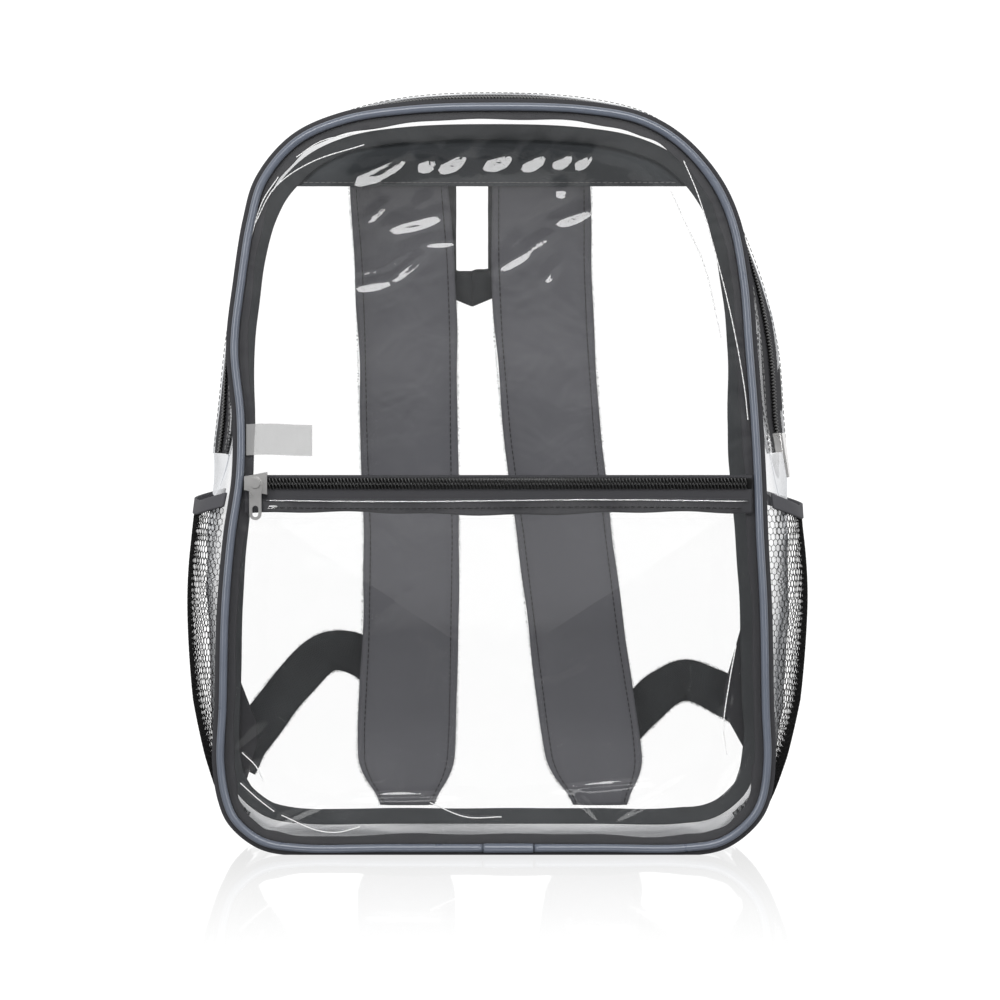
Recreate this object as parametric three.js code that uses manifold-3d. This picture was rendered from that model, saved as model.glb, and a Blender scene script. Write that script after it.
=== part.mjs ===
// Clear backpack: boxed gusset with a zip over the top, front zip pocket, side net pockets, padded straps.
// Millimetres, +Z up, front towards -Y. The bag stands on Z = 0 and its overall box is centred on X and Y.
import * as THREE from 'three';
import Module from 'manifold-3d';
import { mergeVertices } from 'three/addons/utils/BufferGeometryUtils.js';

const manifold = await Module();
manifold.setup();

// Driving dimensions of the shell
const seamWidth = 305;
const seamHeight = 415;
const bagDepth = 140;
const seamLift = 4.2;
const backSpread = 1.05;
const backRise = 1.015;
const backShift = -2.5;
const sheet = 1;
const gap = 0.3;

// Seam trim
const pipingDiameter = 4.5;
const sleeveDiameter = 5.2;
const sleeveLength = 28;
const sleeveCentre = 7.5;
const tape = 1.2;
const bindingOutside = 5;
const bindingInside = 8.5;
const backBindingOutside = 2;
const backBindingInside = 8;
const wallEdge = 2;

// Main zip, over the top from one side pocket to the other
const mainZipAboveBand = 22;
const mainTapeWidth = 45;
const mainTapeShown = 26;
const mainCoilWidth = 6;
const mainCoilHeight = 2;
const mainSliderLength = 11;
const mainSliderWidth = 9;
const mainSliderHeight = 4;
const mainPullLength = 20;
const mainPullWidth = 7;
const mainPullThickness = 1.5;

// Front pocket and its zip
const pocketTop = 200;
const pocketSlack = 7;
const pocketTapeBelow = 9.6;
const pocketTapeAbove = 13;
const pocketTapeThickness = 0.9;
const pocketCoilAbove = 4.7;
const pocketCoilHeight = 7.3;
const pocketCoilDepth = 2.2;
const pocketSliderLength = 12.8;
const pocketSliderHeight = 12.6;
const pocketSliderDepth = 4.6;
const sliderTaper = 0.6;
const crownBuried = 1;
const crownPostRadius = 1.3;
const crownHeadRadius = 2.7;
const crownHeadThickness = 0.8;
const pullEyeRadius = 1.8;
const pullWidth = 6.8;
const pullLength = 24;
const pullThickness = 1.4;
const pullHoleWidth = 3.4;
const pullHoleLength = 6.4;
const pullClearance = 0.4;

// Care tag
const tagWidth = 37;
const tagHeight = 17.4;
const tagAbovePocket = 24;
const tagThickness = 0.4;

// Side pockets
const netBottom = 13;
const bandTop = 202;
const bandHeight = 8;
const bandSag = 8;
const bandThickness = 2;
const netThickness = 1;
const netLift = 0.35;

// Carrying parts
const yokeHeight = 29.2;
const yokeThickness = 1.7;
const yokeInset = 1.5;
const strapWidth = 62;
const strapThickness = 8;
const strapBow = 27;
const webbingWidth = 25;
const webbingThickness = 1.6;
const lockWidth = 34;
const lockHeight = 24;
const lockThickness = 4;
const lockBar = 5.5;
const lockBottom = 16;
const tabThickness = 2;
const haulLegWidth = 25;
const haulGapWidth = 19.5;
const haulTucked = 12;
const haulOpening = 50.5;
const haulWebHeight = 7.5;
const haulPoint = 14;
const haulCentre = -14.3;
const haulThickness = 2;

// Seam outline, from the middle of the bottom to the middle of the top. The back seam is the even
// outline, backSpread as wide, backRise as high and moved across by backShift, as the soft bag lies.
// height: share of seamHeight. right, left: share of half of seamWidth.
// bulgeRight, bulgeLeft: how far the side wall swells past the seam, as a share of bagDepth.
// net: how far the side pocket's net stands off that wall, as a share of bagDepth.
// lean: 0 where the wall swells evenly, 1 where the open-topped bag lets it lean towards the back.
const baseBulge = (seamLift - wallEdge) / bagDepth;
const outlineRows = [
  { height: 0.0, right: 0.0, left: 0.0, bulgeRight: baseBulge, bulgeLeft: baseBulge, net: 0, lean: 0 },
  { height: 0.0, right: 0.386, left: 0.386, bulgeRight: baseBulge, bulgeLeft: baseBulge, net: 0, lean: 0 },
  { height: 0.0, right: 0.69, left: 0.716, bulgeRight: baseBulge, bulgeLeft: baseBulge, net: 0, lean: 0 },
  { height: 0.009, right: 0.834, left: 0.855, bulgeRight: 0.019, bulgeLeft: 0.018, net: 0, lean: 0 },
  { height: 0.037, right: 0.936, left: 0.952, bulgeRight: 0.022, bulgeLeft: 0.016, net: 0, lean: 0 },
  { height: 0.064, right: 0.979, left: 0.986, bulgeRight: 0.03, bulgeLeft: 0.014, net: 0.008, lean: 0 },
  { height: 0.115, right: 1.0, left: 1.008, bulgeRight: 0.046, bulgeLeft: 0.02, net: 0.035, lean: 0 },
  { height: 0.19, right: 0.994, left: 1.0, bulgeRight: 0.079, bulgeLeft: 0.049, net: 0.065, lean: 0 },
  { height: 0.32, right: 0.987, left: 0.991, bulgeRight: 0.11, bulgeLeft: 0.075, net: 0.072, lean: 0 },
  { height: 0.42, right: 0.973, left: 0.968, bulgeRight: 0.139, bulgeLeft: 0.101, net: 0.056, lean: 0.15 },
  { height: 0.5, right: 0.965, left: 0.937, bulgeRight: 0.16, bulgeLeft: 0.112, net: 0.04, lean: 0.6 },
  { height: 0.58, right: 0.953, left: 0.934, bulgeRight: 0.16, bulgeLeft: 0.098, net: 0, lean: 1 },
  { height: 0.675, right: 0.933, left: 0.957, bulgeRight: 0.143, bulgeLeft: 0.053, net: 0, lean: 1 },
  { height: 0.765, right: 0.913, left: 0.931, bulgeRight: 0.1, bulgeLeft: 0.035, net: 0, lean: 1 },
  { height: 0.846, right: 0.87, left: 0.896, bulgeRight: 0.05, bulgeLeft: 0.027, net: 0, lean: 1 },
  { height: 0.9, right: 0.801, left: 0.852, bulgeRight: 0.047, bulgeLeft: 0.028, net: 0, lean: 1 },
  { height: 0.953, right: 0.672, left: 0.73, bulgeRight: 0.055, bulgeLeft: 0.042, net: 0, lean: 1 },
  { height: 0.982, right: 0.5325, left: 0.555, bulgeRight: 0.071, bulgeLeft: 0.06, net: 0, lean: 1 },
  { height: 0.996, right: 0.33, left: 0.31, bulgeRight: 0.083, bulgeLeft: 0.08, net: 0, lean: 1 },
  { height: 1.0, right: 0.0, left: 0.0, bulgeRight: 0.085, bulgeLeft: 0.085, net: 0, lean: 1 },
];

// Cross-section of the side wall from the front seam to the back seam. depth: share of the wall's depth.
// even, leaning: share of the bulge reached there, where the wall swells evenly and where it leans.
const wallSection = [
  { depth: 0.0, even: 0.0, leaning: 0.0 },
  { depth: 0.12, even: 0.66, leaning: 0.16 },
  { depth: 0.32, even: 1.0, leaning: 0.24 },
  { depth: 0.68, even: 1.0, leaning: 1.0 },
  { depth: 0.88, even: 0.66, leaning: 0.7 },
  { depth: 1.0, even: 0.0, leaning: 0.0 },
];

// Cross-section of a side pocket's net, from its front edge to its back edge
const netSection = [
  { depth: 0.05, swell: 0.0 },
  { depth: 0.12, swell: 0.4 },
  { depth: 0.32, swell: 0.9 },
  { depth: 0.5, swell: 1.0 },
  { depth: 0.68, swell: 0.9 },
  { depth: 0.88, swell: 0.4 },
  { depth: 0.95, swell: 0.0 },
];

// Shoulder straps, top to bottom.
// height: share of seamHeight. left, right: centre line, share of half of seamWidth.
// bow: share of strapBow. width: share of strapWidth.
const strapRows = [
  { height: 0.962, left: -0.387, right: 0.184, bow: 0.0, width: 0.97 },
  { height: 0.925, left: -0.387, right: 0.184, bow: 0.0, width: 1.0 },
  { height: 0.82, left: -0.363, right: 0.184, bow: 0.12, width: 1.0 },
  { height: 0.713, left: -0.354, right: 0.197, bow: 0.38, width: 1.0 },
  { height: 0.563, left: -0.351, right: 0.23, bow: 0.82, width: 0.99 },
  { height: 0.412, left: -0.341, right: 0.282, bow: 1.0, width: 0.97 },
  { height: 0.255, left: -0.347, right: 0.334, bow: 0.85, width: 0.97 },
  { height: 0.134, left: -0.357, right: 0.38, bow: 0.48, width: 1.0 },
  { height: 0.072, left: -0.361, right: 0.4, bow: 0.3, width: 0.97 },
  { height: 0.043, left: -0.354, right: 0.413, bow: 0.22, width: 0.7 },
  { height: 0.02, left: -0.354, right: 0.423, bow: 0.19, width: 0.5 },
];

// Adjusting webbing, from the ladder lock to the tab on the side seam.
// across: share of half of seamWidth. height: share of seamHeight.
// lift: 0 against the tab, 1 as far out as the strap's bow. onLock: the row lies on the ladder lock.
const webbingRowsLeft = [
  { across: -0.356, height: 0.033, onLock: true },
  { across: -0.358, height: 0.062, onLock: true },
  { across: -0.364, height: 0.11, lift: 0.6 },
  { across: -0.385, height: 0.15, lift: 0.7 },
  { across: -0.446, height: 0.202, lift: 0.83 },
  { across: -0.564, height: 0.238, lift: 0.88 },
  { across: -0.682, height: 0.243, lift: 0.66 },
  { across: -0.813, height: 0.199, lift: 0.34 },
  { across: -0.918, height: 0.149, lift: 0.09 },
  { across: -0.99, height: 0.112, lift: 0.0 },
  { across: -1.035, height: 0.08, lift: 0.0 },
];
const webbingRowsRight = [
  { across: 0.411, height: 0.033, onLock: true },
  { across: 0.42, height: 0.062, onLock: true },
  { across: 0.452, height: 0.1, lift: 0.58 },
  { across: 0.508, height: 0.127, lift: 0.66 },
  { across: 0.59, height: 0.156, lift: 0.72 },
  { across: 0.678, height: 0.187, lift: 0.66 },
  { across: 0.767, height: 0.202, lift: 0.48 },
  { across: 0.862, height: 0.192, lift: 0.25 },
  { across: 0.944, height: 0.176, lift: 0.05 },
  { across: 0.984, height: 0.168, lift: 0.0 },
];

// Triangular tabs on the back seam. low, high: base on the seam, share of seamHeight.
// tipHeight: share of seamHeight. tipReach: how far the tip comes in, share of half of seamWidth.
const tabRows = {
  left: { low: 0.04, high: 0.232, tipHeight: 0.125, tipReach: 0.11 },
  right: { low: 0.085, high: 0.32, tipHeight: 0.175, tipReach: 0.11 },
};

// Heights that follow the seam, the pocket and the band
const yokeBottom = seamLift + seamHeight - yokeHeight;
const haulTop = yokeBottom + haulTucked;
const haulWebTop = yokeBottom - haulOpening;
const haulWebSide = haulWebTop - haulWebHeight;
const haulTip = haulWebSide - haulPoint;
const mainZipEnd = bandTop + mainZipAboveBand;
const pocketCoilBottom = pocketTop + pocketCoilAbove;
const tagBottom = pocketTop + tagAbovePocket;

// Planes that the pieces stack up on, from front to back
const halfWidth = seamWidth / 2;
const frontSeamY = -bagDepth / 2;
const backSeamY = bagDepth / 2;
const pipingRadius = pipingDiameter / 2;
const panelEdge = -(Math.max(pipingDiameter, sleeveDiameter) / 2 + gap);
const frontBindingY = frontSeamY + pipingRadius + gap;
const wallFrontY = frontBindingY + tape + gap;
const frontPanelY = frontBindingY - gap - sheet - gap;
const pocketTapeY = frontPanelY - gap - pocketTapeThickness;
const frontPocketY = pocketTapeY - gap - sheet;
const wallBackY = -wallFrontY;
const backBindingY = wallBackY + gap;
const backPanelY = backBindingY + tape + gap;
const yokeY = backPanelY + sheet + gap;
const strapY = yokeY + yokeThickness + gap;
const haulY = strapY + strapThickness + gap;
const lockY = strapY + strapThickness + gap;
const tabY = yokeY;
const webbingTabY = tabY + tabThickness + gap + webbingThickness / 2;
const webbingStrapY = lockY + lockThickness + gap + webbingThickness / 2 + strapBow;

const colours = {
  clear: { color: 0xe9edf0, roughness: 0.08, metalness: 0, transparent: true, opacity: 0.3 },
  piping: { color: 0x6b7080, roughness: 0.35, metalness: 0 },
  blackTape: { color: 0x1c1c1f, roughness: 0.85, metalness: 0 },
  greyTape: { color: 0x55565b, roughness: 0.85, metalness: 0 },
  coil: { color: 0x2b2b2e, roughness: 0.5, metalness: 0 },
  metal: { color: 0xc4c6c9, roughness: 0.25, metalness: 1 },
  net: { color: 0x141416, roughness: 0.8, metalness: 0 },
  elastic: { color: 0x333337, roughness: 0.85, metalness: 0 },
  strap: { color: 0x4c4e54, roughness: 0.9, metalness: 0 },
  webbing: { color: 0x3c3d42, roughness: 0.85, metalness: 0 },
  plastic: { color: 0x1b1b1d, roughness: 0.45, metalness: 0 },
  tag: { color: 0xf2f2f0, roughness: 0.6, metalness: 0 },
};

const bag = new THREE.Group();
bag.name = 'clear_backpack';

// One named mesh
function addPiece(name, geometry, colour) {
  const mesh = new THREE.Mesh(geometry, new THREE.MeshStandardMaterial(colours[colour]));
  mesh.name = name;
  bag.add(mesh);
}

// Helpers on tables: linear value of a column at a given key
function tableValue(rows, key, column, at) {
  const rising = rows[rows.length - 1][key] > rows[0][key];
  const list = rising ? rows : [...rows].reverse();
  if (at <= list[0][key]) return list[0][column];
  for (let i = 1; i < list.length; i += 1) {
    const low = list[i - 1];
    const high = list[i];
    if (at <= high[key]) {
      const share = (at - low[key]) / (high[key] - low[key]);
      return low[column] + share * (high[column] - low[column]);
    }
  }
  return list[list.length - 1][column];
}

// The closed seam: right side upwards, then left side downwards.
// A place on it is a number: 0 at the bottom middle, topPlace at the top middle, placeCount all round.
const topPlace = outlineRows.length - 1;
const placeCount = 2 * topPlace;
const seamKnots = [
  ...outlineRows.map((row) => ({ ...row, across: row.right, even: (row.right + row.left) / 2,
    bulge: row.bulgeRight })),
  ...outlineRows.slice(1, topPlace).reverse().map((row) => ({ ...row, across: -row.left,
    even: -(row.right + row.left) / 2, bulge: row.bulgeLeft })),
];
function seamCurve(column, widthShare, heightShare, shift) {
  const points = seamKnots.map((knot) => new THREE.Vector3(knot[column] * halfWidth * widthShare + shift, 0,
    seamLift + knot.height * seamHeight * heightShare));
  return new THREE.CatmullRomCurve3(points, true, 'centripetal');
}
const frontSeam = seamCurve('across', 1, 1, 0);
const backSeam = seamCurve('even', backSpread, backRise, backShift);

function seamPoint(curve, place) {
  const share = (((place / placeCount) % 1) + 1) % 1;
  return curve.getPoint(share);
}

// Outward direction at a place, at right angles to the seam
function outward(place) {
  const step = 0.02;
  const before = seamPoint(frontSeam, place - step);
  const after = seamPoint(frontSeam, place + step);
  const along = after.sub(before).normalize();
  return new THREE.Vector3(along.z, 0, -along.x);
}

function seamValue(column, place) {
  const around = ((place % placeCount) + placeCount) % placeCount;
  const low = Math.floor(around);
  const share = around - low;
  const from = seamKnots[low % placeCount][column];
  const to = seamKnots[(low + 1) % placeCount][column];
  return from + share * (to - from);
}

// A point beside a seam: depth is 0 at the front seam and 1 at the back, offset is outwards.
// Nothing reaches below the floor that the bag stands on.
function besideSeam(place, depth, offset, y) {
  const point = seamPoint(frontSeam, place).lerp(seamPoint(backSeam, place), depth);
  point.addScaledVector(outward(place), offset);
  point.y = y;
  point.z = Math.max(point.z, 0);
  return point;
}

// Place on one side of the bag where the seam reaches a height above the floor
function placeAtHeight(side, height) {
  let low = 2;
  let high = topPlace;
  for (let i = 0; i < 40; i += 1) {
    const middle = (low + high) / 2;
    const place = side === 'right' ? middle : placeCount - middle;
    if (seamPoint(frontSeam, place).z < height) low = middle;
    else high = middle;
  }
  return side === 'right' ? low : placeCount - low;
}

// Place on the flat bottom at a distance from the middle
function placeOnBottom(across) {
  return across / (outlineRows[1].right * halfWidth);
}

function spread(from, to, steps) {
  return Array.from({ length: steps + 1 }, (unused, i) => from + ((to - from) * i) / steps);
}

// Geometry from corner points and triangles, turned inside out if its volume is negative
function solidFrom(points, triangles) {
  let volume = 0;
  for (const [a, b, c] of triangles) {
    volume += points[a].dot(new THREE.Vector3().crossVectors(points[b], points[c]));
  }
  const index = triangles.flatMap(([a, b, c]) => (volume > 0 ? [a, b, c] : [a, c, b]));
  const geometry = new THREE.BufferGeometry();
  geometry.setAttribute('position', new THREE.Float32BufferAttribute(
    points.flatMap((point) => point.toArray()), 3));
  geometry.setIndex(index);
  geometry.computeVertexNormals();
  return geometry;
}

// Solid through a row of equal closed sections; a ring joins the last section to the first
function sweep(sections, ring = false) {
  const sides = sections[0].length;
  const points = sections.flat();
  const triangles = [];
  const spans = ring ? sections.length : sections.length - 1;
  for (let i = 0; i < spans; i += 1) {
    const next = (i + 1) % sections.length;
    for (let j = 0; j < sides; j += 1) {
      const beside = (j + 1) % sides;
      triangles.push([i * sides + j, next * sides + j, next * sides + beside]);
      triangles.push([i * sides + j, next * sides + beside, i * sides + beside]);
    }
  }
  if (!ring) {
    const last = (sections.length - 1) * sides;
    for (let j = 1; j < sides - 1; j += 1) {
      triangles.push([0, j, j + 1]);
      triangles.push([last, last + j + 1, last + j]);
    }
  }
  return solidFrom(points, triangles);
}

// Sheet with a wall thickness, from a grid of outer points and the matching inner points.
// Both faces are cut along the same diagonals, so that sheets which lie on each other match.
function thickSheet(outer, inner) {
  const sections = outer.map((line, i) => [...line, ...[...inner[i]].reverse()]);
  const sides = sections[0].length;
  const points = sections.flat();
  const triangles = [];
  for (let i = 0; i < sections.length - 1; i += 1) {
    const here = i * sides;
    const next = here + sides;
    for (let j = 0; j < sides; j += 1) {
      const beside = (j + 1) % sides;
      const corners = [here + j, next + j, next + beside, here + beside];
      if (j >= outer[0].length) corners.push(corners.shift());
      const [a, b, c, d] = corners;
      triangles.push([a, b, c], [a, c, d]);
    }
  }
  const last = (sections.length - 1) * sides;
  for (let j = 0; j < sides / 2 - 1; j += 1) {
    const a = j;
    const b = j + 1;
    const c = sides - 2 - j;
    const d = sides - 1 - j;
    triangles.push([a, b, c], [a, c, d]);
    triangles.push([last + a, last + c, last + b], [last + a, last + d, last + c]);
  }
  return solidFrom(points, triangles);
}

// Flat or crowned sheet inside a closed outline, made of rings that shrink to its middle.
// crown(share) is how far the sheet stands towards the front at a ring.
function ringSheet(outline, shares, frontY, thickness, crown) {
  const middle = new THREE.Vector3();
  outline.forEach((point) => middle.add(point));
  middle.divideScalar(outline.length);
  const sides = outline.length;
  const points = [];
  for (const layer of [0, thickness]) {
    for (const share of shares) {
      for (const point of outline) {
        const at = middle.clone().lerp(point, share);
        at.y = frontY - crown(share) + layer;
        points.push(at);
      }
    }
    points.push(new THREE.Vector3(middle.x, frontY - crown(0) + layer, middle.z));
  }
  const layerSize = shares.length * sides + 1;
  const triangles = [];
  for (let i = 0; i < sides; i += 1) {
    const beside = (i + 1) % sides;
    for (let ring = 0; ring < shares.length - 1; ring += 1) {
      const a = ring * sides + i;
      const b = ring * sides + beside;
      const c = a + sides;
      const d = b + sides;
      triangles.push([a, b, d], [a, d, c]);
      triangles.push([layerSize + a, layerSize + d, layerSize + b]);
      triangles.push([layerSize + a, layerSize + c, layerSize + d]);
    }
    const inner = (shares.length - 1) * sides;
    triangles.push([inner + i, inner + beside, layerSize - 1]);
    triangles.push([layerSize + inner + i, 2 * layerSize - 1, layerSize + inner + beside]);
    triangles.push([i, layerSize + i, layerSize + beside], [i, layerSize + beside, beside]);
  }
  return solidFrom(points, triangles);
}

// Plate cut from an outline seen from the front, with its front face at frontY
function plate(corners, holes, frontY, thickness) {
  const shape = new THREE.Shape(corners.map(([x, z]) => new THREE.Vector2(x, z)));
  holes.forEach((hole) => shape.holes.push(new THREE.Path(hole.map(([x, z]) => new THREE.Vector2(x, z)))));
  const geometry = new THREE.ExtrudeGeometry(shape, { depth: thickness, bevelEnabled: false });
  geometry.rotateX(Math.PI / 2);
  geometry.translate(0, frontY + thickness, 0);
  return geometry;
}

// Rounded outline of a plate or slot, of a length along Z and a width along X
const shortestEdge = 0.01;
function roundedSlot(centreX, centreZ, width, length, cornerSteps) {
  const radius = Math.min(width, length) / 2;
  const corners = [];
  [[1, 1], [-1, 1], [-1, -1], [1, -1]].forEach(([sideX, sideZ], quarter) => {
    for (const turn of spread(quarter, quarter + 1, cornerSteps)) {
      const angle = (turn * Math.PI) / 2;
      corners.push([centreX + sideX * (width / 2 - radius) + radius * Math.cos(angle),
        centreZ + sideZ * (length / 2 - radius) + radius * Math.sin(angle)]);
    }
  });
  const apart = ([x, z], [nextX, nextZ]) => Math.hypot(x - nextX, z - nextZ) > shortestEdge;
  return corners.filter((corner, i) => apart(corner, corners[(i + 1) % corners.length]));
}

function circle(centreX, centreZ, radius, sides) {
  return spread(0, 2 * Math.PI, sides).slice(1).map((angle) => [centreX + radius * Math.cos(angle),
    centreZ + radius * Math.sin(angle)]);
}

function toManifold(geometry) {
  const bare = geometry.clone();
  bare.deleteAttribute('normal');
  bare.deleteAttribute('uv');
  const merged = mergeVertices(bare, 0.001);
  return new manifold.Manifold(new manifold.Mesh({ numProp: 3,
    vertProperties: new Float32Array(merged.attributes.position.array),
    triVerts: new Uint32Array(merged.index.array) }));
}

// One solid from several that meet
function joined(geometries) {
  const whole = geometries.map(toManifold).reduce((sum, next) => sum.add(next)).getMesh();
  const geometry = new THREE.BufferGeometry();
  geometry.setAttribute('position', new THREE.BufferAttribute(whole.vertProperties, 3));
  geometry.setIndex(new THREE.BufferAttribute(whole.triVerts, 1));
  geometry.computeVertexNormals();
  return geometry;
}

// Places from one to another, by way of the same evenly spaced stations for every piece.
// No station lies nearer to an end than nearestStation.
const stationsPerRow = 2;
const nearestStation = 0.12;
function placesBetween(from, to) {
  const first = Math.ceil((from + nearestStation) * stationsPerRow);
  const last = Math.floor((to - nearestStation) * stationsPerRow);
  const stations = Array.from({ length: Math.max(last - first + 1, 0) }, (unused, i) => first + i);
  return [from, ...stations.map((station) => station / stationsPerRow), to];
}

function insetOutline(curveDepth, offset) {
  return placesBetween(0, placeCount).slice(1).map((place) => besideSeam(place, curveDepth, offset, 0));
}

// Flat ring of tape beside a seam, between two offsets
function tapeRing(depth, inside, outside, frontY) {
  const sections = placesBetween(0, placeCount).slice(1).map((place) => [
    besideSeam(place, depth, -inside, frontY),
    besideSeam(place, depth, outside, frontY),
    besideSeam(place, depth, outside, frontY + tape),
    besideSeam(place, depth, -inside, frontY + tape),
  ]);
  return sweep(sections, true);
}

// Round cord along the front seam between two places
function cordAlongSeam(from, to, radius, sides) {
  const sections = placesBetween(from, to).map((place) => circle(0, 0, radius, sides).map(
    ([across, forward]) => {
      const point = seamPoint(frontSeam, place).addScaledVector(outward(place), across);
      point.y = frontSeamY + forward;
      return point;
    }));
  return sweep(sections);
}

// Outer offset of the side wall at a place and a share of the depth
function wallOffset(place, depth) {
  const even = tableValue(wallSection, 'depth', 'even', depth);
  const leaning = tableValue(wallSection, 'depth', 'leaning', depth);
  const swell = even + seamValue('lean', place) * (leaning - even);
  return wallEdge + seamValue('bulge', place) * bagDepth * swell;
}

function wallPoint(place, depth, offset) {
  return besideSeam(place, depth, offset, wallFrontY + depth * (wallBackY - wallFrontY));
}

// Strip of the wall between two places and two shares of the depth
function wallStrip(places, depths, rise, thickness) {
  const outer = places.map((place) => depths.map((depth) => wallPoint(place, depth,
    wallOffset(place, depth) + rise)));
  const inner = places.map((place) => depths.map((depth) => wallPoint(place, depth,
    wallOffset(place, depth) + rise - thickness)));
  return thickSheet(outer, inner);
}

const depthOf = (width) => width / (wallBackY - wallFrontY);
const stripEdge = 0.5 - depthOf(mainTapeShown) / 2;
const tapeEdge = 0.5 - depthOf(mainTapeWidth) / 2;
const zipRight = placeAtHeight('right', mainZipEnd);
const zipLeft = placeAtHeight('left', mainZipEnd);
const zipRightAbove = placeAtHeight('right', mainZipEnd + gap);
const zipLeftAbove = placeAtHeight('left', mainZipEnd + gap);

// Rings of a sheet, as shares of its outline
const flatRings = [1, 0.5];
const crownedRings = [1, 0.8, 0.5, 0.25];
const pocketTopSteps = 6;

function addPanels() {
  const flat = () => 0;
  const frontOutline = insetOutline(0, panelEdge);
  addPiece('front_panel', ringSheet(frontOutline, flatRings, frontPanelY, sheet, flat), 'clear');
  const backOutline = insetOutline(1, -gap);
  addPiece('back_panel', ringSheet(backOutline, flatRings, backPanelY, sheet, flat), 'clear');
  const right = placeAtHeight('right', pocketTop);
  const left = placeAtHeight('left', pocketTop) - placeCount;
  const outline = placesBetween(left, right).map((place) => besideSeam(place, 0, panelEdge, 0));
  outline[0].z = pocketTop;
  outline[outline.length - 1].z = pocketTop;
  const corner = outline[outline.length - 1];
  spread(0, 1, pocketTopSteps).slice(1, pocketTopSteps).forEach((share) => {
    outline.push(corner.clone().lerp(outline[0], share));
  });
  const crown = (share) => pocketSlack * (1 - share ** 2) ** 2;
  addPiece('front_pocket', ringSheet(outline, crownedRings, frontPocketY, sheet, crown), 'clear');
}

function addWalls() {
  const lowerPlaces = placesBetween(zipLeft - placeCount, zipRight);
  const fullDepths = wallSection.map((row) => row.depth);
  addPiece('gusset_lower', wallStrip(lowerPlaces, fullDepths, 0, sheet), 'clear');
  const upperPlaces = placesBetween(zipRightAbove, zipLeftAbove);
  const frontDepths = [...fullDepths.filter((depth) => depth < tapeEdge), tapeEdge, stripEdge];
  const backDepths = frontDepths.map((depth) => 1 - depth).reverse();
  addPiece('gusset_top_front', wallStrip(upperPlaces, frontDepths, 0, sheet), 'clear');
  addPiece('gusset_top_back', wallStrip(upperPlaces, backDepths, 0, sheet), 'clear');
}

function addMainZip() {
  const places = placesBetween(zipRightAbove, zipLeftAbove);
  const acrossMiddle = (width) => [0.5 - depthOf(width) / 2, 0.5, 0.5 + depthOf(width) / 2];
  const tapeRise = -sheet - gap;
  const tapeDepths = [tapeEdge, stripEdge, 0.5, 1 - stripEdge, 1 - tapeEdge];
  addPiece('main_zip_tape', wallStrip(places, tapeDepths, tapeRise, tape), 'blackTape');
  const sliderTop = placeAtHeight('right', mainZipEnd + mainSliderLength + 2 * gap);
  const coilRise = tapeRise + gap + mainCoilHeight;
  const coilPlaces = placesBetween(sliderTop, zipLeftAbove);
  const coil = wallStrip(coilPlaces, acrossMiddle(mainCoilWidth), coilRise, mainCoilHeight);
  addPiece('main_zip_coil', coil, 'coil');
  const sliderLow = placeAtHeight('right', mainZipEnd + gap);
  const sliderHigh = placeAtHeight('right', mainZipEnd + gap + mainSliderLength);
  const body = wallStrip([sliderLow, sliderHigh], acrossMiddle(mainSliderWidth),
    tapeRise + gap + mainSliderHeight, mainSliderHeight);
  const pullLow = placeAtHeight('right', mainZipEnd + gap + mainSliderLength / 2 - mainPullLength);
  const pull = wallStrip([pullLow, sliderHigh], acrossMiddle(mainPullWidth),
    tapeRise + mainSliderHeight + mainPullThickness, mainPullThickness);
  addPiece('main_zip_slider', joined([body, pull]), 'metal');
}

// Sides of the round pieces' sections
const cordSides = 8;
const sleeveSides = 10;
const crownSides = 14;

function addTrim() {
  const sleeveFrom = placeOnBottom(sleeveCentre - sleeveLength / 2);
  const sleeveTo = placeOnBottom(sleeveCentre + sleeveLength / 2);
  const cordFrom = sleeveTo + placeOnBottom(gap);
  const cordTo = placeCount + sleeveFrom - placeOnBottom(gap);
  addPiece('front_piping', cordAlongSeam(cordFrom, cordTo, pipingRadius, cordSides), 'piping');
  const sleeveRadius = sleeveDiameter / 2;
  const sleeve = new THREE.CylinderGeometry(sleeveRadius, sleeveRadius, sleeveLength, sleeveSides);
  sleeve.rotateZ(Math.PI / 2);
  sleeve.translate(sleeveCentre, frontSeamY - (sleeveRadius - pipingRadius), seamLift);
  addPiece('piping_joint', sleeve, 'piping');
  addPiece('front_binding', tapeRing(0, bindingInside, bindingOutside, frontBindingY), 'blackTape');
  addPiece('back_binding', tapeRing(1, backBindingInside, backBindingOutside, backBindingY), 'greyTape');
}

// Steps of the quarter rounds on the pocket zip's coil, pull and the pull's hole
const coilCornerSteps = 2;
const pullCornerSteps = 4;
const holeCornerSteps = 3;

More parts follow.
